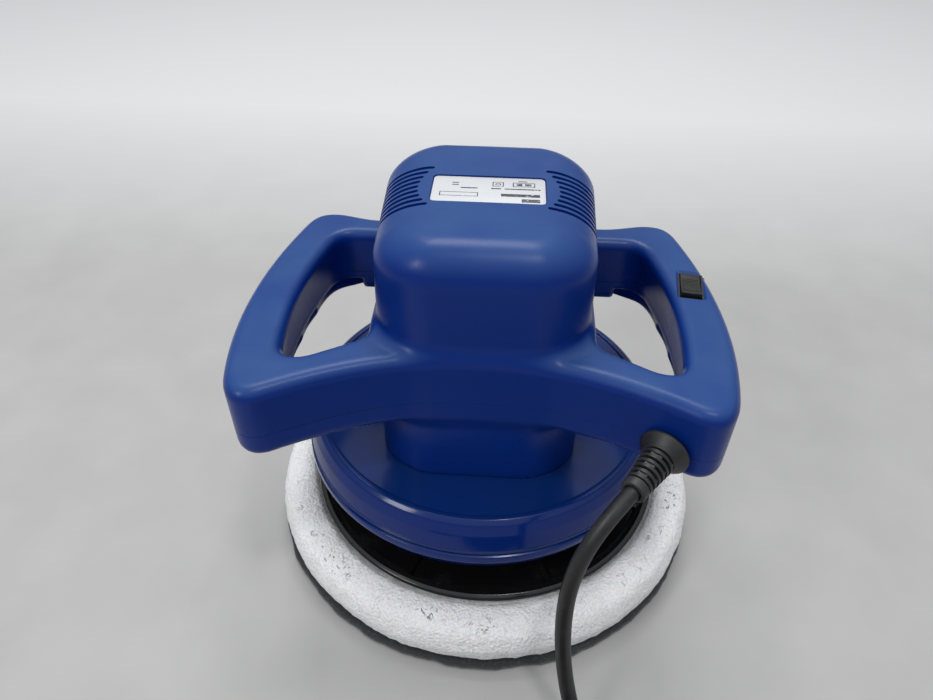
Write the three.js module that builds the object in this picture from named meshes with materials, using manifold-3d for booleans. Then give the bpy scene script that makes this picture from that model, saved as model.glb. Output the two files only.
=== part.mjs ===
// Two-handed orbital car polisher: a mains motor stands upright in a tower between two
// D-shaped handles and swings a round foam pad on an eccentric hub.
// Millimetres, +Z up. The origin is where the motor's axis meets the floor under the pad.
// +X is towards the handle with the switch, -Y towards the handle bars that carry the cord.

import * as THREE from 'three';
import { mergeVertices } from 'three/addons/utils/BufferGeometryUtils.js';
import Module from 'manifold-3d';

const wasm = await Module();
wasm.setup();

// ---------------------------------------------------------------- driving dimensions

const fitGap = 0.3;               // between two pieces that touch or run on each other
const wall = 3;                   // moulded shells
const smallSides = 8;             // facets of screws and bolts
const midSides = 20;              // facets of bearings and motor pieces
const wideSides = 40;             // facets of the shroud, plate and pad

// Pad, which turns on an axis beside the motor's
const throwX = 3;                 // offset of the pad's axis from the motor's
const padRadius = 120;
const hookThickness = 4;
const foamThickness = 19.7;       // under the backing plate
const foamRimWidth = 22.4;        // foam that shows around the backing plate
const foamRimHeight = 3.1;        // foam that stands up around the backing plate
const foamRecessRadius = 14;
const plateThickness = 2.4;
const plateRimHeight = 3.9;
const plateBossRadius = 18;
const plateBossHeight = 8.7;
const plateRibCount = 8;

// Base shroud, a drum over the backing plate
const shroudInset = 4.7;          // lip's radius below the plate's
const shroudHeight = 29;
const shroudBore = 24;

// Tower and neck, one rounded box around the motor that narrows upwards
const towerCentreY = -2;
const motorRoomX = 18.2;
const motorRoomY = 28.5;
const towerDraftX = 0.002;
const towerDraftY = 0.02;
const towerCorner = 24;
const towerTopFillet = 20;        // over the near and far edges of the top
const towerShoulder = 30;         // how far in the top bends down on its other two sides
const neckBossInset = 3.4;        // shroud screw bosses, in from the corner of the neck wall
const neckHeight = 36;            // from the shroud to the handles
const towerRise = 48.3;           // above the handles

// Handle frame, one flat ring on each side of the tower
const handleDepth = 38;
const handleEdge = 8;             // radius of the rounded edges
const seamHeight = 13;            // above the handles' underside
const frontSweep = 25.6;          // how far the near bars run forward of the tower's face
const fingerGap = 35.5;           // between the tower and the grip
const fingerLedge = 0.4;          // frame's edge beside the tower
const gripWidth = 21.5;
const gripBulge = 12.1;           // control point of the grip's outer edge
const gripNarrowing = 5;          // how far the grips draw in towards the far side
const nearBarWidth = 22.3;        // along Y, where it leaves the tower
const nearBarEndWidth = 19.8;     // along Y, before it turns into the grip
const nearCornerWidth = 32.9;     // along Y, at the grip's hole
const farBarWidth = 19;
const gripGrooveCount = 4;
const gripGroovePitch = 20;
const gripGrooveDepth = 1.6;

// Cooling slots over the tower's shoulders
const slotCount = 9;
const slotPitch = 4.3;
const slotWidth = 2.2;
const slotDrop = 28.3;            // how far they run down from the tower's top
const slotMidInset = 17.2;        // inner end of the middle slot, in from the tower's foot
const slotEndInset = 22.9;        // inner ends of the first and last slot

// Rating label in a shallow pocket
const labelX = 50;
const labelY = 24;
const labelThickness = 0.5;
const pocketDepth = 0.8;

// Rocker switch on the right handle
const switchY = 1.5;
const switchTurn = THREE.MathUtils.degToRad(-8);
const rockerX = 9.6;
const rockerY = 19.2;
const rockerTilt = THREE.MathUtils.degToRad(-6);
const rockerDrop = 4.5;           // pivot below the handle's top
const switchDepth = 15;
const switchWall = 1.2;
const switchFlange = 1.5;

// Cord, its strain relief and its clamp
const cordRadius = 3.6;
const glandTurn = THREE.MathUtils.degToRad(-36);
const glandDroop = THREE.MathUtils.degToRad(4);
const glandFlange = 7.4;          // flange's radius beyond the cord's
const glandNeck = 2;              // neck's radius beyond the cord's
const bootLength = 28;
const bootRoot = 3.6;             // boot's radius beyond the cord's, at the flange
const bootTip = 1.8;              // and at its tip
const bootRibCount = 5;
const clampY = -43;
const clampWidth = 5;
const clampHeight = 2.4;

// Screws
const screwRadius = 1.6;
const screwHead = 1.8;            // head's radius beyond the shank's
const screwHeadHeight = 2.2;
const bossWall = 2.9;
const housingScrewLength = 24;
const shroudScrewLength = 18;
const bracketScrewLength = 12;
const clampScrewLength = 10;

// Motor
const shaftRadius = 4;
const canRadius = 32;
const canWall = 2;
const coreRadius = 20;
const coreLength = 36;
const windingHeight = 8;
const commutatorWall = 4.7;
const commutatorLength = 10;
const magnetThickness = 8;
const bearingWall = 6.7;
const bearingWidth = 7;
const bracketThickness = 4;
const fanRadius = 30;
const fanHeight = 7.5;
const fanBladeCount = 9;

// Eccentric drive
const hubWall = 7.7;
const hubLength = 18;
const padBearingRadius = 13;
const padBearingBore = 5;
const padBearingWidth = 8;
const cupWall = 3.7;
const weightReach = 58;
const weightThickness = 10;

// Coiled cord and plug on the floor
const coilX = 30;
const coilY = -217;
const coilMidRadius = 41;
const coilSection = 25;
const plugX = -68;
const plugY = -252;

// ---------------------------------------------------------------- sizes that follow

// Pad and plate, from the floor up
const hookRadius = padRadius - 2.4;
const plateRadius = padRadius - foamRimWidth;
const plateBottom = hookThickness + foamThickness + 2 * fitGap;
const foamTop = plateBottom + foamRimHeight;
const plateRimTop = plateBottom + plateRimHeight;
const plateBossTop = plateBottom + plateBossHeight;

// Eccentric drive
const hubRadius = shaftRadius + fitGap + hubWall;
const cupRadius = padBearingRadius + fitGap + cupWall;
const cupBottom = plateBossTop + 7;
const padBearingBottom = cupBottom + 5;
const padBearingTop = padBearingBottom + padBearingWidth;
const hubStep = padBearingTop + 3;
const hubTop = hubStep + hubLength;
const weightBottom = hubStep + 4;
const weightTop = weightBottom + weightThickness;

// Shroud
const shroudTop = hubTop + 1 + wall;
const shroudLipZ = shroudTop - shroudHeight;
const shroudLipRadius = plateRadius - shroudInset;
const shroudBandRadius = shroudLipRadius + 2.9;
const shroudTopRadius = shroudLipRadius - 6.3;
const neckBottom = shroudTop + fitGap;

// Motor, from the fan up
const fanBottom = shroudTop + 2.5;
const bracketBottom = fanBottom + fanHeight + 2;
const bracketTop = bracketBottom + bracketThickness;
const bearingRadius = shaftRadius + fitGap + bearingWall;
const seatRadius = bearingRadius + fitGap;
const lowerBearingBottom = bracketBottom + 1 + fitGap;
const coreBottom = lowerBearingBottom + bearingWidth + 1.7 + windingHeight;
const coreTop = coreBottom + coreLength;
const commutatorRadius = shaftRadius + fitGap + commutatorWall;
const brushZ = coreTop + windingHeight + commutatorLength / 2 + 1.5;
const cardZ = brushZ + commutatorLength / 2 + 0.5;
const canTop = cardZ + canWall + 2;
const shaftTop = canTop + bearingWidth - 1.5;

// Tower and handles
const handleBottom = shroudTop + neckHeight;
const handleTop = handleBottom + handleDepth;
const handleMid = (handleBottom + handleTop) / 2;
const seamZ = handleBottom + seamHeight;
const towerTop = handleTop + towerRise;
const towerBaseHalfX = canRadius + motorRoomX;
const towerBaseHalfY = canRadius + motorRoomY;
const frontApexY = towerCentreY - towerHalfY(handleMid);
const farWallY = towerCentreY + towerHalfY(handleTop);
const holeInnerX = towerHalfX(handleMid) + fingerLedge;
const holeOuterX = holeInnerX + fingerGap;
const holeFarOuterX = holeOuterX - gripNarrowing * 0.7;
const holeBendX = holeInnerX + 5.5;
const holeNearY = frontWallY(holeBendX) + nearBarWidth + 3.2;
const holeNearOuterY = frontApexY - frontSweep + nearCornerWidth;
const holeFarY = farWallY - farBarWidth;
const gripNearX = holeOuterX + gripWidth;
const gripNearY = frontApexY - frontSweep / 2;
const gripFarX = gripNearX - gripNarrowing;
const gripFarY = farWallY - farBarWidth / 2;
const gripMidY = (gripNearY + gripFarY) / 2 - 7;
const farPeakX = gripFarX - 16.5;
const farPeakY = farWallY + 5.7;
const farWallX = holeInnerX + 7.5;
const bracketRadius = towerBaseHalfX - wall - 1.5;
const postX = (bracketRadius - 2.8) / Math.SQRT2;

// Switch and cord
const switchX = holeOuterX + 12.8;
const switchHalfX = rockerX / 2 + switchWall;
const switchHalfY = rockerY / 2 + switchWall;
const rockerPivotZ = handleTop - rockerDrop;
const glandX = holeOuterX - 7;
const gripGrooveMidY = gripMidY + 6;
const clampLowX = holeOuterX + wall + 2;
const clampHighX = gripNearX + 2.5 - wall;
const clampX = (clampLowX + clampHighX) / 2;
const clampHalfX = (clampHighX - clampLowX) / 2;
const clampScrewX = clampHalfX - 2;
const bossRadius = screwRadius + bossWall + fitGap;
const screwHeadRadius = screwRadius + screwHead;

// ---------------------------------------------------------------- solid helpers

function toSolid(geometry) {
  const bare = geometry.clone();
  bare.deleteAttribute('normal');
  bare.deleteAttribute('uv');
  const merged = mergeVertices(bare, 1e-4);
  const corners = [];
  for (let i = 0; i < merged.index.count; i += 3) {
    const a = merged.index.getX(i);
    const b = merged.index.getX(i + 1);
    const c = merged.index.getX(i + 2);
    if (a !== b && b !== c && c !== a) {
      corners.push(a, b, c);
    }
  }
  return new wasm.Manifold(new wasm.Mesh({
    numProp: 3,
    vertProperties: new Float32Array(merged.attributes.position.array),
    triVerts: new Uint32Array(corners),
  }));
}

function toGeometry(solid) {
  const mesh = solid.getMesh();
  const geometry = new THREE.BufferGeometry();
  geometry.setAttribute('position', new THREE.BufferAttribute(mesh.vertProperties, 3));
  geometry.setIndex(new THREE.BufferAttribute(mesh.triVerts, 1));
  geometry.computeVertexNormals();
  return geometry;
}

function box(x0, x1, y0, y1, z0, z1) {
  const geometry = new THREE.BoxGeometry(x1 - x0, y1 - y0, z1 - z0);
  geometry.translate((x0 + x1) / 2, (y0 + y1) / 2, (z0 + z1) / 2);
  return toSolid(geometry);
}

function cylinder(radius, z0, z1, x = 0, y = 0, sides = midSides) {
  const geometry = new THREE.CylinderGeometry(radius, radius, z1 - z0, sides);
  geometry.rotateX(Math.PI / 2);
  geometry.translate(x, y, (z0 + z1) / 2);
  return toSolid(geometry);
}

// Turns a closed outline of [radius, z] pairs about the Z axis
function lathe(outline, sides = midSides) {
  let area = 0;
  outline.forEach(([r, z], i) => {
    const [nextR, nextZ] = outline[(i + 1) % outline.length];
    area += r * nextZ - nextR * z;
  });
  const ordered = area > 0 ? outline : [...outline].reverse();
  const points = [...ordered, ordered[0]].map(([r, z]) => new THREE.Vector2(r, z));
  const geometry = new THREE.LatheGeometry(points, sides);
  geometry.rotateX(Math.PI / 2);
  return toSolid(geometry);
}

function ring(inner, outer, z0, z1, sides = midSides) {
  return lathe([[inner, z0], [outer, z0], [outer, z1], [inner, z1]], sides);
}

function extrude(shape, z0, z1, curveSegments = 8) {
  const geometry = new THREE.ExtrudeGeometry(shape, { depth: z1 - z0, bevelEnabled: false, curveSegments });
  geometry.translate(0, 0, z0);
  return toSolid(geometry);
}

// A rod swept along a smooth curve through the given points
function tube(points, radius, steps, sides = 10) {
  const section = new THREE.Shape();
  section.absarc(0, 0, radius, 0, Math.PI * 2);
  const path = new THREE.CatmullRomCurve3(points, false, 'centripetal');
  const options = { steps, curveSegments: sides / 2, bevelEnabled: false, extrudePath: path };
  return toSolid(new THREE.ExtrudeGeometry(section, options));
}

// Joins rings of equally many points into one closed skin, capped flat at both ends
function loft(rings) {
  const count = rings[0].length;
  const positions = rings.flat().flatMap((p) => [p.x, p.y, p.z]);
  const faces = [];
  for (let level = 0; level < rings.length - 1; level += 1) {
    for (let i = 0; i < count; i += 1) {
      const a = level * count + i;
      const b = level * count + (i + 1) % count;
      faces.push(a, b, b + count, a, b + count, a + count);
    }
  }
  const last = (rings.length - 1) * count;
  for (let i = 1; i < count - 1; i += 1) {
    faces.push(0, i + 1, i);
    faces.push(last, last + i, last + i + 1);
  }
  const geometry = new THREE.BufferGeometry();
  geometry.setAttribute('position', new THREE.Float32BufferAttribute(positions, 3));
  geometry.setIndex(faces);
  return toSolid(geometry);
}

// Distance from the axis to the middle of a facet
function flatRadius(radius, sides = midSides) {
  return radius * Math.cos(Math.PI / sides);
}

function moved(solid, matrix) {
  const geometry = toGeometry(solid);
  geometry.applyMatrix4(matrix);
  return toSolid(geometry);
}

function shifted(solid, x, y, z) {
  return moved(solid, new THREE.Matrix4().makeTranslation(x, y, z));
}

function piece(name, solid, material) {
  const mesh = new THREE.Mesh(toGeometry(solid), material);
  mesh.name = name;
  return mesh;
}

function placed(mesh, x, y, z) {
  mesh.position.set(x, y, z);
  return mesh;
}

// ---------------------------------------------------------------- materials

function material(color, roughness, metalness = 0) {
  return new THREE.MeshStandardMaterial({ color, roughness, metalness });
}

const looks = {
  shell: material(0x14389c, 0.45),
  shroud: material(0x123a9c, 0.2),
  label: material(0xf2f3f4, 0.4),
  black: material(0x17181a, 0.5),
  rubber: material(0x232426, 0.75),
  plate: material(0x0c0c0d, 0.25),
  foam: material(0xe9eaec, 0.95),
  hook: material(0x3f4246, 0.95),
  steel: material(0xb9bcc0, 0.35, 1),
  zinc: material(0x9a9da1, 0.5, 1),
  iron: material(0x55585c, 0.6, 0.8),
  magnet: material(0x2f3033, 0.7),
  copper: material(0xb9693a, 0.4, 1),
  carbon: material(0x1c1c1d, 0.8),
  board: material(0x2d6b3c, 0.6),
  capacitor: material(0xd9a441, 0.5),
  fan: material(0x2a2b2e, 0.6),
  brass: material(0xc9a24e, 0.35, 1),
  tie: material(0x1b1b1d, 0.6),
};

// ---------------------------------------------------------------- housing outline

function towerHalfX(z) {
  return towerBaseHalfX - (z - shroudTop) * towerDraftX;
}

function towerHalfY(z) {
  return towerBaseHalfY - (z - shroudTop) * towerDraftY;
}

// The near wall is a parabola that sweeps forward on both sides of the tower
function frontWallY(x) {
  return frontApexY - frontSweep * (x / holeOuterX) ** 2;
}

function roundedRing(halfX, halfY, corner, z, steps = 4) {
  const points = [];
  for (let quarter = 0; quarter < 4; quarter += 1) {
    const signX = quarter === 0 || quarter === 3 ? 1 : -1;
    const signY = quarter < 2 ? 1 : -1;
    for (let i = 0; i <= steps; i += 1) {
      const angle = (quarter + i / steps) * Math.PI / 2;
      const x = signX * (halfX - corner) + corner * Math.cos(angle);
      const y = towerCentreY + signY * (halfY - corner) + corner * Math.sin(angle);
      points.push(new THREE.Vector3(x, y, z));
    }
  }
  return points;
}

// The tower's rounded box, drawn in by inset on every side
function towerSolid(zLow, zHigh, inset) {
  const filletRadius = towerTopFillet - inset;
  const section = (z, bend) => {
    const halfX = towerHalfX(z) - inset - (towerShoulder - inset) * bend;
    const halfY = towerHalfY(z) - inset - filletRadius * bend;
    return roundedRing(halfX, halfY, (towerCorner - inset) * (1 - bend / 2), z);
  };
  const rings = [section(zLow, 0)];
  const top = towerTop - inset;
  if (zHigh < top - filletRadius) {
    rings.push(section(zHigh, 0));
    return loft(rings);
  }
  const filletSteps = 4;
  for (let i = 0; i <= filletSteps; i += 1) {
    const angle = i / filletSteps * Math.PI / 2;
    const z = top - filletRadius * (1 - Math.sin(angle));
    rings.push(section(z, 1 - Math.cos(angle)));
  }
  return loft(rings);
}

function handleHole(side) {
  const hole = new THREE.Path();
  const nearEndX = holeOuterX - 14;
  hole.moveTo(side * holeInnerX, holeNearY + 7);
  hole.quadraticCurveTo(side * holeInnerX, holeNearY, side * holeBendX, holeNearY - 3.2);
  hole.lineTo(side * nearEndX, frontWallY(nearEndX) + nearBarEndWidth);
  hole.bezierCurveTo(
    side * (nearEndX + 6), holeNearOuterY - 9,
    side * (holeOuterX - 0.4), holeNearOuterY - 9,
    side * holeOuterX, holeNearOuterY,
  );
  hole.quadraticCurveTo(side * (holeOuterX + 5.7), gripMidY + 6, side * holeFarOuterX, holeFarY - 12);
  hole.bezierCurveTo(
    side * (holeFarOuterX - 1.6), holeFarY - 5,
    side * (holeFarOuterX - 4.5), holeFarY,
    side * (holeFarOuterX - 12.5), holeFarY,
  );
  hole.lineTo(side * (holeInnerX + 5), holeFarY);
  hole.quadraticCurveTo(side * holeInnerX, holeFarY, side * holeInnerX, holeFarY - 5);
  hole.closePath();
  return hole;
}

function handleShape() {
  const shape = new THREE.Shape();
  const sweepY = frontWallY(holeOuterX);
  const outerX = gripNearX + gripBulge;
  const wallSteps = 12;
  shape.moveTo(-holeOuterX, sweepY);
  for (let i = 1; i <= wallSteps; i += 1) {
    const x = (i / wallSteps * 2 - 1) * holeOuterX;
    shape.lineTo(x, frontWallY(x));
  }
  shape.bezierCurveTo(holeOuterX + 8, sweepY - 4.8, gripNearX - 3.5, gripNearY - 16, gripNearX, gripNearY);
  shape.quadraticCurveTo(outerX, gripMidY, gripFarX, gripFarY);
  shape.bezierCurveTo(gripFarX - 2.7, gripFarY + 10.7, farPeakX + 8, farPeakY, farPeakX, farPeakY);
  shape.bezierCurveTo(farPeakX - 8, farPeakY, farWallX + 12, farWallY, farWallX, farWallY);
  shape.lineTo(-farWallX, farWallY);
  shape.bezierCurveTo(-farWallX - 12, farWallY, -farPeakX + 8, farPeakY, -farPeakX, farPeakY);
  shape.bezierCurveTo(-farPeakX - 8, farPeakY, -gripFarX + 2.7, gripFarY + 10.7, -gripFarX, gripFarY);
  shape.quadraticCurveTo(-outerX, gripMidY, -gripNearX, gripNearY);
  shape.bezierCurveTo(-gripNearX + 3.5, gripNearY - 16, -holeOuterX - 8, sweepY - 4.8, -holeOuterX, sweepY);
  shape.holes.push(handleHole(1), handleHole(-1));
  return shape;
}

// The handle frame with rounded edges, drawn in by inset on every side
function handleSolid(inset) {
  const edge = handleEdge - inset;
  const geometry = new THREE.ExtrudeGeometry(handleShape(), {
    depth: handleTop - handleBottom - 2 * handleEdge,
    bevelEnabled: true,
    bevelThickness: edge,
    bevelSize: edge,
    bevelOffset: -handleEdge,
    bevelSegments: 2,
    curveSegments: 4,
  });
  geometry.translate(0, 0, handleBottom + handleEdge);
  return toSolid(geometry);
}

const far = 400;
const aboveSeam = box(-far, far, -far, far, seamZ + fitGap / 2, far);
const belowSeam = box(-far, far, -far, far, -far, seamZ - fitGap / 2);
const handleOuter = handleSolid(0);
const handleInner = handleSolid(wall);

// ---------------------------------------------------------------- places inside the housing

const screwPlaces = [];
for (const side of [1, -1]) {
  const barX = holeInnerX + 9.5;
  screwPlaces.push([side * (gripNearX - 10.5), gripNearY - 3.5]);
  screwPlaces.push([side * (gripFarX - 12.5), gripFarY + 2]);
  screwPlaces.push([side * barX, (frontWallY(barX) + holeNearY - 6) / 2]);
}

const neckBossReach = (towerCorner - wall - neckBossInset) / Math.SQRT2 - towerCorner;
const neckBossX = towerHalfX(neckBottom) + neckBossReach;
const neckBossY = towerHalfY(neckBottom) + neckBossReach;
const shroudScrewPlaces = [];
for (const sideX of [1, -1]) {
  for (const sideY of [1, -1]) {
    shroudScrewPlaces.push([sideX * neckBossX, towerCentreY + sideY * neckBossY]);
  }
}

// The strain relief's own frame: its Z axis points out of the handle
const glandMatrix = new THREE.Matrix4().compose(
  new THREE.Vector3(glandX, frontWallY(glandX), seamZ),
  new THREE.Quaternion().setFromEuler(new THREE.Euler(Math.PI / 2 + glandDroop, 0, glandTurn, 'ZYX')),
  new THREE.Vector3(1, 1, 1),
);
const glandSeatZ = 1.6;
const glandNeckHole = cylinder(cordRadius + glandNeck + fitGap, -wall * 3, 8);
const glandSeat = cylinder(cordRadius + glandFlange + fitGap, glandSeatZ - fitGap, 30);
const glandHole = moved(glandNeckHole.add(glandSeat), glandMatrix);

// ---------------------------------------------------------------- upper housing

function slotInnerX(y) {
  const edgeY = (slotCount - 1) / 2 * slotPitch;
  const inset = slotMidInset + (slotEndInset - slotMidInset) * (y / edgeY) ** 2;
  return towerBaseHalfX - inset;
}

// One box for each slot: it opens the shell's top and side where it runs over the shoulder
function coolingSlots() {
  const cuts = [];
  for (let i = 0; i < slotCount; i += 1) {
    const y = (i - (slotCount - 1) / 2) * slotPitch;
    const inner = slotInnerX(y);
    for (const side of [1, -1]) {
      const x0 = side > 0 ? inner : -towerBaseHalfX;
      const x1 = side > 0 ? towerBaseHalfX : -inner;
      cuts.push(box(x0, x1, y - slotWidth / 2, y + slotWidth / 2, towerTop - slotDrop, towerTop + 1));
    }
  }
  return cuts;
}

// The window for the switch and the room under it for the switch's flange
function switchCut() {
  const halfX = switchHalfX + fitGap;
  const halfY = switchHalfY + fitGap;
  const window = box(-halfX, halfX, -halfY, halfY, handleTop - wall - 1, handleTop + 2);
  const roomX = halfX + switchFlange;
  const roomY = halfY + switchFlange;
  const roomBottom = handleTop - 1 - switchDepth - fitGap;
  const room = box(-roomX, roomX, -roomY, roomY, roomBottom, handleTop - wall);
  const turn = new THREE.Matrix4().makeRotationZ(switchTurn);
  return moved(window.add(room), turn.setPosition(switchX, switchY, 0));
}

function upperHousing() {
  const outer = handleOuter.add(towerSolid(handleBottom + 4, towerTop, 0)).intersect(aboveSeam);
  const cavity = handleInner.add(towerSolid(handleBottom, towerTop, wall));
  let shell = outer.subtract(cavity);
  for (const [x, y] of screwPlaces) {
    shell = shell.add(cylinder(bossRadius, seamZ + fitGap / 2, handleTop - wall + 1, x, y, smallSides));
    shell = shell.subtract(cylinder(screwRadius + fitGap, seamZ - 1, handleTop - wall - 2, x, y, smallSides));
  }
  for (const cut of coolingSlots()) {
    shell = shell.subtract(cut);
  }
  const pocketX = labelX / 2 + fitGap;
  const pocketY = labelY / 2 + fitGap;
  shell = shell.subtract(box(
    -pocketX, pocketX,
    towerCentreY - pocketY, towerCentreY + pocketY,
    towerTop - pocketDepth, towerTop + 1,
  ));
  return shell.subtract(switchCut()).subtract(glandHole);
}

// ---------------------------------------------------------------- lower housing

// Shallow finger grooves along the outer wall of each grip's hole
function gripGroove(side, y) {
  const radius = ((gripGroovePitch / 2) ** 2 + gripGrooveDepth ** 2) / (2 * gripGrooveDepth);
  const t = (y - holeNearOuterY) / (holeFarY - 12 - holeNearOuterY);
  const bulgeX = holeOuterX + 5.7;
  const wallX = (1 - t) ** 2 * holeOuterX + 2 * t * (1 - t) * bulgeX + t ** 2 * holeFarOuterX;
  const drum = cylinder(radius, -far, seamZ - 4, side * (wallX + gripGrooveDepth - radius), y, 40);
  const inner = holeOuterX - fingerGap / 2;
  const near = side > 0 ? box(inner, far, -far, far, -far, far) : box(-far, -inner, -far, far, -far, far);
  return drum.intersect(near);
}

function lowerHousing() {
  const neck = towerSolid(neckBottom, seamZ - fitGap / 2, 0);
  const neckCavity = towerSolid(neckBottom - 1, seamZ + 1, wall);
  let shell = handleOuter.intersect(belowSeam).add(neck);
  for (let i = 0; i < gripGrooveCount; i += 1) {
    const y = gripGrooveMidY + (i - (gripGrooveCount - 1) / 2) * gripGroovePitch;
    shell = shell.subtract(gripGroove(1, y)).subtract(gripGroove(-1, y));
  }
  shell = shell.subtract(handleInner).subtract(neckCavity);
  const rim = bossRadius + 1.2;
  for (const [x, y] of screwPlaces) {
    shell = shell.add(cylinder(rim, handleBottom + wall - 1, seamZ - fitGap / 2, x, y, smallSides));
    shell = shell.subtract(cylinder(screwRadius + fitGap, 0, seamZ + 1, x, y, smallSides));
    const headRoom = screwHeadRadius + 0.6;
    shell = shell.subtract(cylinder(headRoom, 0, handleBottom + screwHeadHeight + 2.5, x, y, smallSides));
  }
  for (const [x, y] of shroudScrewPlaces) {
    const top = neckBottom + shroudScrewLength;
    shell = shell.add(cylinder(bossRadius, neckBottom, top, x, y, smallSides));
    shell = shell.subtract(cylinder(screwRadius + fitGap, 0, top - 1, x, y, smallSides));
  }
  return shell.add(clampPost()).subtract(glandHole);
}

// ---------------------------------------------------------------- base shroud

function baseShroud() {
  const grooveZ = shroudLipZ + 10;
  const drum = lathe([
    [shroudBore, shroudTop - wall], [shroudTopRadius, shroudTop - wall],
    [shroudLipRadius - wall, shroudTop - wall - 9], [shroudLipRadius - wall, shroudLipZ],
    [shroudLipRadius, shroudLipZ], [shroudBandRadius, shroudLipZ + 7.5],
    [shroudBandRadius - 0.4, grooveZ - 0.2], [shroudBandRadius - 2.2, grooveZ + 0.4],
    [shroudBandRadius - 2.2, grooveZ + 2.2], [shroudBandRadius - 1.2, grooveZ + 2.8],
    [shroudBandRadius - 2.4, shroudTop - 9], [shroudTopRadius + 3.8, shroudTop - 1.6],
    [shroudTopRadius + 2, shroudTop + 0.6], [shroudTopRadius, shroudTop], [shroudBore, shroudTop],
  ], wideSides);
  let shell = drum;
  for (const x of [postX, -postX]) {
    for (const y of [postX, -postX]) {
      shell = shell.add(cylinder(bossRadius, shroudTop - 1, bracketBottom - fitGap, x, y, smallSides));
      const hole = cylinder(screwRadius + fitGap, shroudTop + 1, bracketBottom + 1, x, y, smallSides);
      shell = shell.subtract(hole);
    }
  }
  for (const [x, y] of shroudScrewPlaces) {
    shell = shell.subtract(cylinder(screwRadius + fitGap, 0, shroudTop + 5, x, y, smallSides));
  }
  return shell;
}

// ---------------------------------------------------------------- screws

// A pan-head screw that points up, with its head's seat at z = 0
function screw(length) {
  return lathe([
    [0, -screwHeadHeight], [screwHeadRadius, -screwHeadHeight], [screwHeadRadius, -fitGap],
    [screwRadius, -fitGap], [screwRadius, length - 2], [0, length],
  ], smallSides);
}

// ---------------------------------------------------------------- switch

function switchBody() {
  const top = handleTop - 1;
  const bottom = top - switchDepth;
  const tray = box(-switchHalfX, switchHalfX, -switchHalfY, switchHalfY, bottom, top);
  const room = box(
    -rockerX / 2 - fitGap, rockerX / 2 + fitGap,
    -rockerY / 2 - fitGap * 2, rockerY / 2 + fitGap * 2,
    rockerPivotZ - 4, top + 1,
  );
  const flangeX = switchHalfX + switchFlange;
  const flangeY = switchHalfY + switchFlange;
  const flange = box(-flangeX, flangeX, -flangeY, flangeY, bottom, handleTop - wall - fitGap);
  return tray.add(flange).subtract(room);
}

// The rocker in its own frame, with its pivot at the origin along X
function rocker() {
  const profile = new THREE.Shape();
  const half = rockerY / 2 - 0.4;
  const crown = handleTop - rockerPivotZ + 0.6;
  const ridges = 6;
  profile.moveTo(-half, -0.2);
  profile.lineTo(0, -2.6);
  profile.lineTo(half, -0.2);
  profile.lineTo(half, crown + 0.7);
  for (let i = 0; i < ridges; i += 1) {
    const y = half - (i + 0.5) * (2 * half / ridges);
    const surface = crown + 0.7 * Math.abs(y) / half;
    profile.lineTo(y + 0.9, surface);
    profile.lineTo(y + 0.3, surface + 0.45);
    profile.lineTo(y - 0.3, surface + 0.45);
    profile.lineTo(y - 0.9, surface);
  }
  profile.lineTo(-half, crown + 0.7);
  profile.closePath();
  const solid = extrude(profile, -rockerX / 2, rockerX / 2);
  const upright = new THREE.Matrix4().makeBasis(
    new THREE.Vector3(0, 1, 0), new THREE.Vector3(0, 0, 1), new THREE.Vector3(1, 0, 0),
  );
  return moved(solid, upright);
}

// ---------------------------------------------------------------- strain relief and clamp

const collarDepth = wall + 6.5;

// In the gland's frame: a flange on the wall, a ribbed boot outside and a collar inside
function strainRelief() {
  const neckRadius = cordRadius + glandNeck;
  const flangeRadius = cordRadius + glandFlange;
  const tipRadius = cordRadius + bootTip;
  const outline = [
    [0, -collarDepth], [neckRadius + 1.8, -collarDepth], [neckRadius + 1.8, -wall - 4],
    [neckRadius, -wall - 4], [neckRadius, glandSeatZ], [flangeRadius, glandSeatZ],
    [flangeRadius, glandSeatZ + 1], [cordRadius + bootRoot + 0.6, 6],
  ];
  const ribPitch = (bootLength - 8) / bootRibCount;
  for (let i = 0; i < bootRibCount; i += 1) {
    const z = 7 + i * ribPitch;
    const radius = cordRadius + bootRoot + (bootTip - bootRoot) * (i / bootRibCount);
    outline.push([radius - 1.5, z], [radius - 1.5, z + ribPitch * 0.4]);
    outline.push([radius, z + ribPitch * 0.45], [radius - 0.1, z + ribPitch * 0.95]);
  }
  outline.push([tipRadius, bootLength - 0.6], [tipRadius - 0.6, bootLength], [0, bootLength]);
  return lathe(outline, 14);
}

// A bar over the cord inside the handle, hooked at one end and screwed down at the other.
// Its own frame has the cord's axis along Y through the origin.
function cordClamp() {
  const room = cordRadius + fitGap;
  const bar = box(-clampHalfX, clampHalfX, -clampWidth / 2, clampWidth / 2, 0, room + clampHeight);
  const cordRoom = box(-room, room, -far, far, -1, room);
  const hole = cylinder(screwRadius + fitGap, -1, far, clampScrewX, 0, smallSides);
  return bar.subtract(cordRoom).subtract(hole);
}

// The post in the lower shell that the cord and its clamp sit on
function clampPost() {
  const top = seamZ - cordRadius - fitGap;
  const post = box(
    clampX - clampHalfX, clampX + clampHalfX,
    clampY - clampWidth / 2, clampY + clampWidth / 2,
    handleBottom + wall - 1, top,
  );
  const x = clampX + clampScrewX;
  return post.subtract(cylinder(screwRadius + fitGap, handleBottom + wall, seamZ, x, clampY, smallSides));
}

function innerCord() {
  const inGland = (z) => new THREE.Vector3(0, 0, z).applyMatrix4(glandMatrix);
  const points = [
    inGland(-collarDepth - fitGap),
    inGland(-collarDepth - fitGap - 6),
    new THREE.Vector3(clampX - 2, clampY - 13, seamZ),
    new THREE.Vector3(clampX, clampY - 5, seamZ),
    new THREE.Vector3(clampX, clampY + 5, seamZ),
    new THREE.Vector3(switchX, switchY - 15, seamZ + 1),
  ];
  return tube(points, cordRadius, 10, 8);
}

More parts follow.
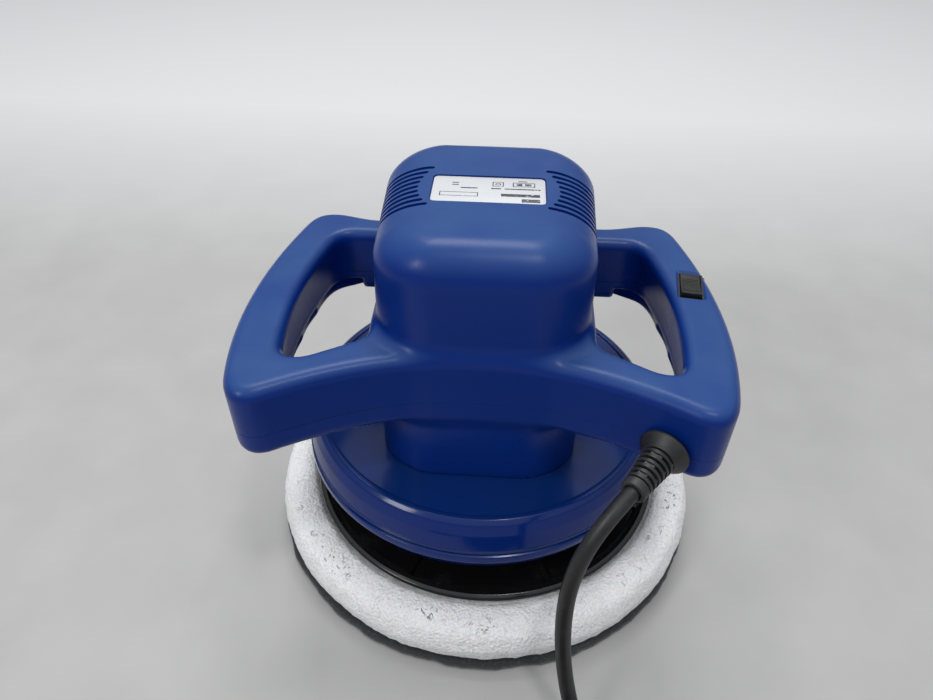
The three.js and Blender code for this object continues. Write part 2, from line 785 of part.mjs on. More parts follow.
// ---------------------------------------------------------------- motor, still pieces

function motorBracket() {
  const seatTop = lowerBearingBottom + bearingWidth;
  let bracket = lathe([
    [shaftRadius + 1, bracketBottom], [bracketRadius, bracketBottom], [bracketRadius, bracketTop],
    [seatRadius + 2.2, bracketTop], [seatRadius + 2.2, seatTop], [seatRadius, seatTop],
    [seatRadius, lowerBearingBottom - fitGap], [shaftRadius + 1, lowerBearingBottom - fitGap],
  ]);
  for (const x of [postX, -postX]) {
    for (const y of [postX, -postX]) {
      bracket = bracket.subtract(cylinder(screwRadius + fitGap, 0, bracketTop + 1, x, y, smallSides));
    }
  }
  return bracket;
}

function motorCan() {
  const inner = canRadius - canWall;
  const cupTop = canTop + bearingWidth;
  return lathe([
    [inner, bracketTop + fitGap], [canRadius, bracketTop + fitGap], [canRadius, canTop - 2],
    [canRadius - 2, canTop], [seatRadius + 2, canTop], [seatRadius + 2, cupTop + 1.5],
    [0, cupTop + 1.5], [0, cupTop], [seatRadius, cupTop],
    [seatRadius, canTop - canWall], [inner, canTop - canWall],
  ]);
}

function magnet(side) {
  const outer = flatRadius(canRadius - canWall) - fitGap;
  const inner = outer - magnetThickness;
  const arc = new THREE.Shape();
  const reach = THREE.MathUtils.degToRad(62);
  const middle = side > 0 ? 0 : Math.PI;
  arc.absarc(0, 0, outer, middle - reach, middle + reach, false);
  arc.absarc(0, 0, inner, middle + reach, middle - reach, true);
  arc.closePath();
  return extrude(arc, coreBottom - 3, coreTop + 3, 8);
}

const brushHalf = 2.5;

function brushCard() {
  const outer = flatRadius(canRadius - canWall) - fitGap;
  let card = ring(commutatorRadius + 3, outer, cardZ, cardZ + 1.8);
  for (const side of [1, -1]) {
    const x0 = side > 0 ? commutatorRadius + 2.5 : -outer + 4;
    const x1 = side > 0 ? outer - 4 : -commutatorRadius - 2.5;
    const holder = box(x0, x1, -brushHalf - 1.8, brushHalf + 1.8, brushZ - brushHalf - 1.6, cardZ + 0.5);
    card = card.add(holder);
  }
  const slide = brushHalf + fitGap;
  return card.subtract(box(-outer, outer, -slide, slide, brushZ - slide, brushZ + slide));
}

function brush(side) {
  const near = commutatorRadius + fitGap;
  const x0 = side > 0 ? near : -near - 12;
  return box(x0, x0 + 12, -brushHalf, brushHalf, brushZ - brushHalf, brushZ + brushHalf);
}

const boardZ = canTop + fitGap;

// ---------------------------------------------------------------- motor, turning pieces

function armatureCore() {
  let core = cylinder(coreRadius, coreBottom, coreTop);
  const teeth = 8;
  for (let i = 0; i < teeth; i += 1) {
    const angle = i / teeth * Math.PI * 2;
    const slot = box(coreRadius - 8, coreRadius + 2, -1.2, 1.2, coreBottom - 1, coreTop + 1);
    core = core.subtract(moved(slot, new THREE.Matrix4().makeRotationZ(angle)));
  }
  return core.subtract(cylinder(shaftRadius + fitGap, coreBottom - 1, coreTop + 1));
}

function commutator() {
  const half = commutatorLength / 2;
  return ring(shaftRadius + fitGap, commutatorRadius, brushZ - half, brushZ + half);
}

function winding(z0, z1) {
  const outer = coreRadius - 2.5;
  return lathe([
    [shaftRadius + 2, z0], [outer - 2, z0], [outer, z0 + 2],
    [outer, z1 - 2], [outer - 2, z1], [shaftRadius + 2, z1],
  ]);
}

function motorShaft() {
  return lathe([
    [0, hubStep], [shaftRadius, hubStep], [shaftRadius, shaftTop - 0.6],
    [shaftRadius - 0.6, shaftTop], [0, shaftTop],
  ]);
}

function coolingFan() {
  let fan = ring(shaftRadius + fitGap, 8, fanBottom, fanBottom + fanHeight);
  fan = fan.add(ring(7, fanRadius, fanBottom, fanBottom + 1.5));
  for (let i = 0; i < fanBladeCount; i += 1) {
    const blade = box(7, fanRadius - 1, -0.7, 0.7, fanBottom + 1, fanBottom + fanHeight);
    fan = fan.add(moved(blade, new THREE.Matrix4().makeRotationZ(i / fanBladeCount * Math.PI * 2)));
  }
  return fan;
}

// ---------------------------------------------------------------- eccentric drive

function eccentricHub() {
  const sleeve = cylinder(hubRadius, hubStep - 1, hubTop);
  const cup = cylinder(cupRadius, cupBottom, hubStep, throwX, 0);
  const bore = cylinder(shaftRadius + fitGap, hubStep - fitGap, hubTop + 1);
  const seat = cylinder(padBearingRadius + fitGap, cupBottom - 1, padBearingTop + fitGap, throwX, 0);
  return sleeve.add(cup).subtract(seat).subtract(bore);
}

function counterweight() {
  const sector = new THREE.Shape();
  const reach = THREE.MathUtils.degToRad(70);
  sector.absarc(0, 0, weightReach, Math.PI - reach, Math.PI + reach, false);
  sector.lineTo(0, 0);
  sector.closePath();
  const collar = cylinder(hubRadius + 6, weightBottom, weightTop);
  const plate = extrude(sector, weightBottom, weightTop, 12).add(collar);
  const screwHole = sideways(cylinder(screwRadius + fitGap, 0, hubRadius + 10), 0, 0, weightMidZ);
  return plate.subtract(cylinder(hubRadius + fitGap, weightBottom - 1, weightTop + 1)).subtract(screwHole);
}

const weightMidZ = (weightBottom + weightTop) / 2;

// Lays a solid that stands on Z along +X and moves it
function sideways(solid, x, y, z) {
  return moved(solid, new THREE.Matrix4().makeRotationY(Math.PI / 2).setPosition(x, y, z));
}

// ---------------------------------------------------------------- pad, in the frame of its own axis

function padSpindle() {
  const flangeBottom = plateBossTop + fitGap;
  const shaft = padBearingBore - fitGap;
  return lathe([
    [screwRadius * 2 + fitGap, flangeBottom], [11, flangeBottom], [11, flangeBottom + 2.5],
    [shaft + 1.5, flangeBottom + 3], [shaft + 1.5, padBearingBottom - fitGap],
    [shaft, padBearingBottom - fitGap], [shaft, padBearingTop - 1], [0, padBearingTop - 1],
    [0, padBearingBottom + 4], [screwRadius * 2 + fitGap, padBearingBottom + 4],
  ]);
}

function backingPlate() {
  let plate = lathe([
    [screwRadius * 2 + fitGap, plateBottom], [plateRadius - 2.5, plateBottom],
    [plateRadius, plateBottom + 2], [plateRadius - 0.6, plateRimTop - 0.8],
    [plateRadius - 2.2, plateRimTop], [plateRadius - 4.2, plateRimTop - 0.4],
    [plateRadius - 5.6, plateBottom + plateThickness],
    [plateBossRadius + 3, plateBottom + plateThickness], [plateBossRadius, plateBossTop],
    [screwRadius * 2 + fitGap, plateBossTop],
  ], wideSides);
  for (let i = 0; i < plateRibCount; i += 1) {
    const rib = box(plateBossRadius - 3, plateRadius - 4.5, -1.2, 1.2, plateBottom + 1, plateRimTop - 0.6);
    const angle = (i + 0.5) / plateRibCount * Math.PI * 2;
    plate = plate.add(moved(rib, new THREE.Matrix4().makeRotationZ(angle)));
  }
  return plate;
}

function foamPad() {
  const bottom = hookThickness + fitGap;
  const shelf = plateBottom - fitGap;
  return lathe([
    [foamRecessRadius, bottom], [padRadius - 3.2, bottom], [padRadius - 0.9, bottom + 4],
    [padRadius, bottom + 10], [padRadius - 1.4, foamTop - 6.4], [padRadius - 5.5, foamTop - 2],
    [padRadius - foamRimWidth / 2, foamTop], [plateRadius + 2.5, foamTop], [plateRadius + 0.5, foamTop - 1.2],
    [plateRadius + 0.5, shelf], [foamRecessRadius, shelf],
  ], wideSides);
}

function hookLayer() {
  return lathe([
    [0, 0], [hookRadius - 0.5, 0], [hookRadius, 1], [hookRadius, hookThickness], [0, hookThickness],
  ], wideSides);
}

function padBolt() {
  const radius = screwRadius * 2;
  const seat = plateBottom - 2 - 2 * fitGap;
  return lathe([
    [0, seat - 5], [6, seat - 5], [6.5, seat - 4.4], [6.5, seat], [radius, seat],
    [radius, padBearingBottom + 1.5], [radius - 0.8, padBearingBottom + 2.5], [0, padBearingBottom + 2.5],
  ], midSides);
}

function padWasher() {
  return ring(screwRadius * 2 + fitGap, 11, plateBottom - 2 - fitGap, plateBottom - fitGap);
}

// ---------------------------------------------------------------- cord and plug

const glandTip = new THREE.Vector3(0, 0, bootLength + fitGap).applyMatrix4(glandMatrix);
const glandAxis = new THREE.Vector3(0, 0, 1).transformDirection(glandMatrix);

function coilRing(grow) {
  const half = coilSection / 2 + grow;
  const outline = [];
  const sides = 12;
  for (let i = 0; i < sides; i += 1) {
    const angle = i / sides * Math.PI * 2;
    const z = coilSection / 2 + half * Math.sin(angle);
    outline.push([coilMidRadius + half * Math.cos(angle), z]);
  }
  return shifted(lathe(outline, 32), coilX, coilY, 0);
}

const leadPoints = [
  glandTip,
  glandTip.clone().addScaledVector(glandAxis, 9),
  new THREE.Vector3(45.1, -118, 109.8),
  new THREE.Vector3(39.5, -124.5, 87),
  new THREE.Vector3(39.6, -129, 63.5),
  new THREE.Vector3(42.3, -132.5, 40),
  new THREE.Vector3(46.7, -138, 15.5),
  new THREE.Vector3(50.5, -147, 5.2),
  new THREE.Vector3(56, -160, cordRadius + 0.1),
  new THREE.Vector3(63.5, -176, cordRadius + 0.4),
  new THREE.Vector3(69.5, -196, coilSection * 0.3),
];

const plugEntry = new THREE.Vector3(plugX + 37, plugY, 11);
const tailPoints = [
  new THREE.Vector3(coilX - 8, coilY - coilMidRadius + 2, 12),
  new THREE.Vector3(coilX - 26, coilY - coilMidRadius + 1, 11),
  new THREE.Vector3(coilX - 44, coilY - coilMidRadius + 4, 10.4),
  new THREE.Vector3(plugEntry.x + 8, plugEntry.y + 0.3, 10.8),
  plugEntry,
];

// The plug lies on its back with its pins up; its cord leaves towards +X
function plugBody() {
  const outline = new THREE.Shape();
  outline.moveTo(-26, -14);
  outline.quadraticCurveTo(-26, -23, -17, -23);
  outline.lineTo(14, -23);
  outline.quadraticCurveTo(24, -22, 26, -9);
  outline.lineTo(26, 9);
  outline.quadraticCurveTo(24, 22, 14, 23);
  outline.lineTo(-17, 23);
  outline.quadraticCurveTo(-26, 23, -26, 14);
  outline.closePath();
  const geometry = new THREE.ExtrudeGeometry(outline, {
    depth: 17, bevelEnabled: true, bevelThickness: 2.5, bevelSize: 2.5, bevelOffset: -2.5,
    bevelSegments: 2, curveSegments: 4,
  });
  geometry.translate(0, 0, 2.5);
  const collar = sideways(lathe([[0, 0], [6, 0], [5.4, 11.4], [0, 11.4]], 16), 25, 0, 11);
  return toSolid(geometry).add(collar);
}

const plugPins = [
  { name: 'plug_pin_earth', x: -13, y: 0, halfX: 4, halfY: 2, length: 22.7 },
  { name: 'plug_pin_live', x: 9.2, y: -11.1, halfX: 2, halfY: 3.2, length: 17.7 },
  { name: 'plug_pin_neutral', x: 9.2, y: 11.1, halfX: 2, halfY: 3.2, length: 17.7 },
];

function cordTie() {
  const half = coilSection / 2;
  const band = sideways(ring(half + fitGap, half + 1.6, -3, 3, 24), coilX, coilY + coilMidRadius, half);
  return band.intersect(box(-far, far, -far, far, 0, far));
}

// ---------------------------------------------------------------- assembly

const housing = new THREE.Group();
housing.add(piece('upper_housing', upperHousing(), looks.shell));
housing.add(piece('lower_housing', lowerHousing(), looks.shell));
housing.add(piece('base_shroud', baseShroud(), looks.shroud));
const labelZ = towerTop - pocketDepth + fitGap;
const label = box(
  -labelX / 2, labelX / 2,
  towerCentreY - labelY / 2, towerCentreY + labelY / 2,
  labelZ, labelZ + labelThickness,
);
housing.add(piece('rating_label', label, looks.label));

screwPlaces.forEach(([x, y], i) => {
  const mesh = piece(`housing_screw_${i + 1}`, screw(housingScrewLength), looks.steel);
  housing.add(placed(mesh, x, y, handleBottom + screwHeadHeight + 2.5));
});
shroudScrewPlaces.forEach(([x, y], i) => {
  const mesh = piece(`shroud_screw_${i + 1}`, screw(shroudScrewLength), looks.steel);
  housing.add(placed(mesh, x, y, shroudTop - wall));
});

const gland = new THREE.Group();
gland.applyMatrix4(glandMatrix);
gland.add(piece('strain_relief', strainRelief(), looks.rubber));
housing.add(gland);
housing.add(piece('inner_cord', innerCord(), looks.rubber));
const clampTop = seamZ + cordRadius + fitGap + clampHeight;
housing.add(placed(piece('cord_clamp', cordClamp(), looks.black), clampX, clampY, seamZ));
const clampScrew = piece('clamp_screw', screw(clampScrewLength), looks.steel);
clampScrew.rotation.x = Math.PI;
housing.add(placed(clampScrew, clampX + clampScrewX, clampY, clampTop));

const switchFrame = new THREE.Group();
switchFrame.position.set(switchX, switchY, 0);
switchFrame.rotation.z = switchTurn;
switchFrame.add(piece('switch_body', switchBody(), looks.black));
const rockerFrame = new THREE.Group();
rockerFrame.position.z = rockerPivotZ;
rockerFrame.rotation.x = rockerTilt;
rockerFrame.add(piece('rocker', rocker(), looks.black));
switchFrame.add(rockerFrame);
housing.add(switchFrame);

const motor = new THREE.Group();
motor.add(piece('motor_bracket', motorBracket(), looks.zinc));
motor.add(piece('motor_can', motorCan(), looks.steel));
motor.add(piece('magnet_right', magnet(1), looks.magnet));
motor.add(piece('magnet_left', magnet(-1), looks.magnet));
motor.add(piece('brush_card', brushCard(), looks.black));
motor.add(piece('brush_right', brush(1), looks.carbon));
motor.add(piece('brush_left', brush(-1), looks.carbon));
const bearing = ring(shaftRadius + fitGap, bearingRadius, 0, bearingWidth - fitGap);
motor.add(placed(piece('lower_bearing', bearing, looks.steel), 0, 0, lowerBearingBottom));
motor.add(placed(piece('top_bearing', bearing, looks.steel), 0, 0, canTop));
motor.add(piece('rectifier_board', ring(seatRadius + 2.6, canRadius - 3, boardZ, boardZ + 1.6), looks.board));
motor.add(piece('capacitor', box(-8, 8, 16, 25, boardZ + 1.6 + fitGap, boardZ + 13), looks.capacitor));
let bracketScrewNumber = 1;
for (const x of [postX, -postX]) {
  for (const y of [postX, -postX]) {
    const mesh = piece(`bracket_screw_${bracketScrewNumber}`, screw(bracketScrewLength), looks.steel);
    mesh.rotation.x = Math.PI;
    motor.add(placed(mesh, x, y, bracketTop));
    bracketScrewNumber += 1;
  }
}
housing.add(motor);

const rotor = new THREE.Group();
rotor.add(piece('motor_shaft', motorShaft(), looks.steel));
rotor.add(piece('armature_core', armatureCore(), looks.iron));
rotor.add(piece('winding_lower', winding(coreBottom - windingHeight, coreBottom - fitGap), looks.copper));
rotor.add(piece('winding_upper', winding(coreTop + fitGap, coreTop + windingHeight), looks.copper));
rotor.add(piece('commutator', commutator(), looks.copper));
rotor.add(piece('cooling_fan', coolingFan(), looks.fan));
rotor.add(piece('eccentric_hub', eccentricHub(), looks.zinc));
rotor.add(piece('counterweight', counterweight(), looks.iron));
const padBearing = ring(padBearingBore, padBearingRadius, padBearingBottom, padBearingTop);
rotor.add(placed(piece('pad_bearing', padBearing, looks.steel), throwX, 0, 0));

const pad = new THREE.Group();
pad.position.x = throwX;
pad.add(piece('pad_spindle', padSpindle(), looks.steel));
pad.add(piece('backing_plate', backingPlate(), looks.plate));
pad.add(piece('foam_pad', foamPad(), looks.foam));
pad.add(piece('hook_layer', hookLayer(), looks.hook));
pad.add(piece('pad_bolt', padBolt(), looks.steel));
pad.add(piece('pad_washer', padWasher(), looks.steel));
rotor.add(pad);

const cord = new THREE.Group();
const coilRoom = coilRing(fitGap);
cord.add(piece('cord_lead', tube(leadPoints, cordRadius, 30).subtract(coilRoom), looks.rubber));
cord.add(piece('cord_coil', coilRing(0), looks.rubber));
cord.add(piece('cord_tail', tube(tailPoints, cordRadius, 7).subtract(coilRoom), looks.rubber));
cord.add(piece('cord_tie', cordTie(), looks.tie));
const plug = new THREE.Group();
plug.position.set(plugX, plugY, 0);
plug.add(piece('plug_body', plugBody(), looks.black));
for (const pin of plugPins) {
  const blade = box(-pin.halfX, pin.halfX, -pin.halfY, pin.halfY, 0, pin.length);
  plug.add(placed(piece(pin.name, blade, looks.brass), pin.x, pin.y, 22 + fitGap));
}
cord.add(plug);

const group = new THREE.Group();
group.add(housing, rotor, cord);

export default group;
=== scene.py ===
# %% [markdown]
# # A two-handed orbital polisher
# The tool stands on its round pad: a blue tower holds the motor, two D-shaped handles grow
# out of its sides, and a drum-shaped shroud covers the drive above the backing plate.
# This lesson builds the visible skin of each part around a frame that already exists. The
# frame gives the moving bodies and the screws' places; other sizes are in millimetres here.

# %% Load the frame
import math

import bmesh
import bpy
import numpy as np
from mathutils import Matrix, Vector


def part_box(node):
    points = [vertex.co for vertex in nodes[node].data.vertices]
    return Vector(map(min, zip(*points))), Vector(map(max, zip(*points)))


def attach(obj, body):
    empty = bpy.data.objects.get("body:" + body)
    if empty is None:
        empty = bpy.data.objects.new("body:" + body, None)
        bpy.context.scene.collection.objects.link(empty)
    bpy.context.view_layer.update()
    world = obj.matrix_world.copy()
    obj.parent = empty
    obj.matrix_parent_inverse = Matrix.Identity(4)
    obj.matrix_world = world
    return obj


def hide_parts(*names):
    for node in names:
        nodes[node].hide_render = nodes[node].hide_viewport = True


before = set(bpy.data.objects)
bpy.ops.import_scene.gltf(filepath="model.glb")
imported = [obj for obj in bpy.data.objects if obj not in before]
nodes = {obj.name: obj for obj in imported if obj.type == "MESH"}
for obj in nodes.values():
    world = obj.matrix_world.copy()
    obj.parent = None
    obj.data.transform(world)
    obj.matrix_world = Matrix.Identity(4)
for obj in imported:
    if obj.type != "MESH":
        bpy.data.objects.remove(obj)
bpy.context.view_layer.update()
MM = 0.001


def placed(name, data):
    """A new object in the scene that shows the data."""
    made = bpy.data.objects.new(name, data)
    bpy.context.scene.collection.objects.link(made)
    return made


# %% [markdown]
# ## Camera
# The camera looks down at the tool from in front, a little closer than arm's length. Its
# three axes are worked out from the compass direction, the downward tilt and a small roll,
# because a rotation matrix says exactly where each axis points.

# %% Camera
CAMERA_PLACE = Vector((0.0067, -0.2855, 0.3445))
CAMERA_HEADING = math.radians(-3.16)
CAMERA_TILT = math.radians(39.88)
CAMERA_ROLL = math.radians(0.70)

forward = Vector((math.sin(CAMERA_HEADING) * math.cos(CAMERA_TILT),
                  math.cos(CAMERA_HEADING) * math.cos(CAMERA_TILT),
                  -math.sin(CAMERA_TILT)))
level = Vector((math.cos(CAMERA_HEADING), -math.sin(CAMERA_HEADING), 0))
upright = level.cross(forward)
right = level * math.cos(CAMERA_ROLL) + upright * math.sin(CAMERA_ROLL)
above = upright * math.cos(CAMERA_ROLL) - level * math.sin(CAMERA_ROLL)

camera = placed("camera", bpy.data.cameras.new("camera"))
camera.data.sensor_width = 36
camera.data.lens = 27.18
camera.data.clip_start = 0.01
axes = Matrix((right, above, -forward)).transposed()
camera.matrix_world = Matrix.Translation(CAMERA_PLACE) @ axes.to_4x4()
bpy.context.scene.camera = camera
print("camera looks along", [round(v, 3) for v in forward])

# %% [markdown]
# ## Small tools for nodes and materials
# Every finish here is a Principled shader whose colour, roughness and bump come from noise
# in Object coordinates. A short helper adds nodes and joins them, so that each finish reads
# like a recipe: grain first, then stains, then how they change the shader. The shapes made
# by Geometry Nodes further down use the same helper.

# %% Node helper
class Nodes:
    """Short ways to add nodes to a tree. A value is a number or another node's output."""

    def __init__(self, tree):
        self.nodes, self.links = tree.nodes, tree.links

    def add(self, kind, settings=None, **inputs):
        """Adds a node. An input is named by its label, or by _2 for the third socket."""
        made = self.nodes.new(kind)
        for label, value in (settings or {}).items():
            setattr(made, label, value)
        for label, value in inputs.items():
            key = int(label[1:]) if label[1:].isdigit() else label.replace("_", " ")
            if isinstance(value, bpy.types.NodeSocket):
                self.links.new(value, made.inputs[key])
            else:
                made.inputs[key].default_value = value
        return made.outputs

    def math(self, operation, a, b=0.0):
        return self.add("ShaderNodeMath", {"operation": operation}, _0=a, _1=b)[0]

    def plus(self, a, b):
        return self.math("ADD", a, b)

    def minus(self, a, b):
        return self.math("SUBTRACT", a, b)

    def times(self, a, b):
        return self.math("MULTIPLY", a, b)

    def over(self, a, b):
        return self.math("DIVIDE", a, b)


print("one helper for every node tree")

# %% Material helper
class Finish(Nodes):
    """A Principled material whose patterns lie in Object coordinates."""

    def __init__(self, name, color, roughness, metallic=0.0, **sockets):
        self.material = bpy.data.materials.new(name)
        self.material.use_nodes = True
        super().__init__(self.material.node_tree)
        self.shader = self.nodes["Principled BSDF"]
        self.shader.inputs["Base Color"].default_value = (*color, 1)
        self.shader.inputs["Roughness"].default_value = roughness
        self.shader.inputs["Metallic"].default_value = metallic
        for label, value in sockets.items():
            self.shader.inputs[label.replace("_", " ")].default_value = value
        self.coordinates = self.add("ShaderNodeTexCoord")
        self.place = self.coordinates["Object"]
        self.last_bump = None

    def noise(self, size, detail=2.0, rough=0.5, stretch=(1, 1, 1), distortion=0.0):
        """Noise whose blobs are about size metres across."""
        scaled = self.add("ShaderNodeMapping", Vector=self.place, Scale=stretch)["Vector"]
        return self.add("ShaderNodeTexNoise", Vector=scaled, Scale=1 / size, Detail=detail,
                        Roughness=rough, Distortion=distortion)["Fac"]

    def ramp(self, value, low, high, first=0.0, last=1.0):
        """Value stretched so that low becomes first and high becomes last."""
        return self.add("ShaderNodeMapRange", Value=value, From_Min=low, From_Max=high,
                        To_Min=first, To_Max=last)["Result"]

    def mix(self, share, a, b):
        """Colour a where share is 0 and colour b where it is 1."""
        a, b = (c if isinstance(c, bpy.types.NodeSocket) else (*c, 1) for c in (a, b))
        return self.add("ShaderNodeMix", {"data_type": "RGBA"}, _0=share, _6=a, _7=b)[2]

    def color(self, value):
        self.links.new(value, self.shader.inputs["Base Color"])

    def roughness(self, value):
        self.links.new(value, self.shader.inputs["Roughness"])

    def bump(self, height, depth):
        """Relief of about depth metres, added on top of any relief before it."""
        before = {"Normal": self.last_bump} if self.last_bump else {}
        self.last_bump = self.add("ShaderNodeBump", Height=height, Distance=depth,
                                  **before)["Normal"]
        self.links.new(self.last_bump, self.shader.inputs["Normal"])

    def separate(self, vector=None):
        """The three parts of a vector, or of the place on the piece."""
        return self.add("ShaderNodeSeparateXYZ", Vector=vector or self.place)


print("materials will read Object coordinates")

# %% [markdown]
# ## Moulded plastics
# The housing is a satin plastic with a fine spark-eroded grain, deep blue on its sides. Where
# it faces up, a grey-blue is painted into its colour in patches, as a painted reflection of
# the sky. The shroud is the same colour but polished, with the same painted reflection. Both
# carry fine specks of dust.

# %% Blue plastics
def moulded(name, color, sky, roughness, grain, grain_depth, coat):
    """Blue plastic with a painted sky reflection where the surface faces up, and specks of dust."""
    finish = Finish(name, color, roughness, Specular_IOR_Level=0.22, Coat_Weight=coat,
                    Coat_Roughness=0.10)
    _, _, up = finish.separate(finish.coordinates["Normal"])
    # Painted reflection: faces that point up are mixed towards the sky colour, in noise patches.
    flat_top = finish.ramp(up, 0.35, 1.0)
    cloud = finish.ramp(finish.noise(0.030, 4), 0.3, 0.75, 0.55, 1.0)
    painted_sky_sheen = finish.mix(finish.times(flat_top, cloud), color, sky)
    speck = finish.ramp(finish.noise(0.0011, 2), 0.74, 0.80)
    finish.color(finish.mix(finish.times(speck, 0.10), painted_sky_sheen, (0.20, 0.24, 0.34)))
    finish.roughness(finish.ramp(cloud, 0.55, 1, roughness - 0.03, roughness + 0.05))
    finish.bump(finish.noise(grain, 2, 0.7), grain_depth)
    finish.bump(finish.noise(0.014, 2), 0.00004)
    return finish.material


SHELL_BLUE = (0.0014, 0.0230, 0.185)
# The second colour of each plastic is its painted sky reflection on upward faces.
shell_plastic = moulded("shell_plastic", SHELL_BLUE, (0.020, 0.068, 0.215), 0.30, 0.0005,
                        0.00003, 0.0)
shroud_plastic = moulded("shroud_plastic", (0.0012, 0.019, 0.155), (0.003, 0.022, 0.115), 0.16,
                         0.003, 0.00001, 0.15)
print("plastics:", shell_plastic.name, shroud_plastic.name)

# %% [markdown]
# ## Black rubber and plastic
# Cord, strain relief, rocker and plug are black but not the same black: the cord's sheath is
# dull and a little greasy, the rocker is a satin nylon, and the backing plate is glossy with
# the fine circles that a mould's turning leaves, under a thin veil of polishing dust. The
# plate and the pad turn about an axis 3 mm beside the motor's, so their rings centre on it.

# %% Black finishes
def dull_black(name, color, roughness, grain, depth, dust=0.25):
    """A black with a fine grain and pale, rougher patches of dust."""
    finish = Finish(name, color, roughness)
    dirt = finish.ramp(finish.noise(0.011, 4, 0.6), 0.5, 0.75)
    pale = tuple(min(1.0, c * 3 + 0.03) for c in color)
    finish.color(finish.mix(finish.times(dirt, dust), color, pale))
    finish.roughness(finish.ramp(dirt, 0, 1, roughness - 0.05, roughness + 0.12))
    finish.bump(finish.noise(grain, 3, 0.6), depth)
    return finish.material


cord_sheath = dull_black("cord_sheath", (0.013, 0.013, 0.014), 0.46, 0.0012, 0.00004)
rubber = dull_black("boot_rubber", (0.014, 0.014, 0.0145), 0.50, 0.0008, 0.00004)
nylon = dull_black("black_nylon", (0.008, 0.008, 0.008), 0.45, 0.0005, 0.00003, 0.1)
tie_nylon = dull_black("tie_nylon", (0.016, 0.016, 0.017), 0.42, 0.0009, 0.00003)
fan_plastic = dull_black("fan_plastic", (0.025, 0.026, 0.029), 0.55, 0.0007, 0.00005)


PAD_X = 3.0


def from_pad_axis(finish):
    """Distance from the pad's own upright axis."""
    x, y, _ = finish.separate()
    throw = finish.minus(x, PAD_X * MM)
    return finish.math("SQRT", finish.plus(finish.times(throw, throw), finish.times(y, y)))


def plate_finish():
    finish = Finish("plate_gloss", (0.006, 0.006, 0.006), 0.22)
    rings = finish.math("SINE", finish.times(from_pad_axis(finish), 2 * math.pi / 0.0011))
    dust = finish.ramp(finish.noise(0.02, 4, 0.65), 0.52, 0.8)
    finish.color(finish.mix(finish.times(dust, 0.03), (0.005, 0.005, 0.005),
                            (0.25, 0.25, 0.25)))
    finish.roughness(finish.ramp(dust, 0, 1, 0.2, 0.42))
    finish.bump(rings, 0.000008)
    return finish.material


plate_gloss = plate_finish()
print("five dull blacks and one glossy one")

# %% [markdown]
# ## Pad foam and its felt
# The pad is white open foam whose surface is brushed into a short nap. Grit from earlier
# work sits in it as dark specks, thickest along rings where the plate's edge dragged it.
# Under the foam a dark grey layer shows as a ragged line just above the floor.

# %% Foam and felt
def foam_finish():
    finish = Finish("pad_foam", (0.86, 0.86, 0.86), 0.95, Sheen_Weight=0.35,
                    Sheen_Roughness=0.6, Subsurface_Weight=0.15, Subsurface_Scale=0.004)
    around = from_pad_axis(finish)
    from_ring = finish.math("ABSOLUTE", finish.minus(around, 0.1095))
    on_ring = finish.minus(1, finish.ramp(from_ring, 0.0015, 0.008))
    # Painted shade: near_plate marks the foam just outside the plate's rim, next to the plate.
    near_plate = finish.ramp(around, 0.1045, 0.0985)
    grit = finish.ramp(finish.noise(0.0030, 3, 0.65, distortion=1.0), 0.57, 0.63)
    patch = finish.ramp(finish.noise(0.024, 2), 0.44, 0.60)
    dirt = finish.times(grit, finish.times(patch, on_ring))
    darkening = finish.times(near_plate, finish.ramp(finish.noise(0.012, 4), 0.3, 0.7))
    cells = finish.add("ShaderNodeTexVoronoi", Vector=finish.place, Scale=1 / 0.0015)["Distance"]
    nap = finish.noise(0.0011, 3, 0.7)
    shade = finish.mix(finish.ramp(nap, 0.3, 0.6), (0.74, 0.74, 0.75), (0.93, 0.93, 0.93))
    # Painted shade: the ring next to the plate is mixed towards grey in noise patches.
    plate_shaded = finish.mix(finish.times(darkening, 0.55), shade, (0.36, 0.35, 0.33))
    finish.color(finish.mix(finish.times(dirt, 0.9), plate_shaded, (0.045, 0.04, 0.035)))
    finish.bump(finish.noise(0.006, 3), 0.0006)
    finish.bump(cells, 0.0006)
    finish.bump(nap, 0.0005)
    return finish.material


def felt_finish():
    finish = Finish("pad_felt", (0.035, 0.036, 0.038), 0.95, Sheen_Weight=0.3)
    lint = finish.ramp(finish.noise(0.002, 4, 0.7, stretch=(1, 1, 3)), 0.55, 0.75)
    finish.color(finish.mix(finish.times(lint, 0.5), (0.030, 0.031, 0.033),
                            (0.16, 0.16, 0.165)))
    finish.bump(finish.noise(0.0014, 3, 0.7), 0.0007)
    return finish.material


pad_foam = foam_finish()
pad_felt = felt_finish()
print("soft finishes:", pad_foam.name, pad_felt.name)

# %% [markdown]
# ## Metals and the motor's insides
# These pieces hide inside the tower, but they show through the slots, from below and in any
# cut-away picture. Brushed steel, cast zinc, laminated iron, wound copper and a green board
# each get the pattern that tells them apart.

# %% Metals
def metal(name, color, roughness, grain, depth, stretch=(1, 1, 1), darkening=(0.2, 0.18, 0.16)):
    """A worked metal with a grain and patches of tarnish."""
    finish = Finish(name, color, roughness, 1.0)
    lines = finish.noise(grain, 3, 0.6, stretch=stretch)
    tarnish = finish.ramp(finish.noise(0.009, 4, 0.6), 0.5, 0.8)
    finish.color(finish.mix(finish.times(tarnish, 0.3), color, darkening))
    finish.roughness(finish.ramp(lines, 0.3, 0.7, roughness - 0.08, roughness + 0.1))
    finish.bump(lines, depth)
    return finish.material


def banded(name, color, dark, pitch, depth, roughness, metallic):
    """Rings stacked along Z, as laminations or turns of wire are."""
    finish = Finish(name, color, roughness, metallic)
    _, _, z = finish.separate()
    wave = finish.math("SINE", finish.times(z, 2 * math.pi / pitch))
    uneven = finish.plus(wave, finish.noise(0.003, 2))
    finish.color(finish.mix(finish.ramp(uneven, -0.8, 1.2), dark, color))
    finish.bump(uneven, depth)
    return finish.material


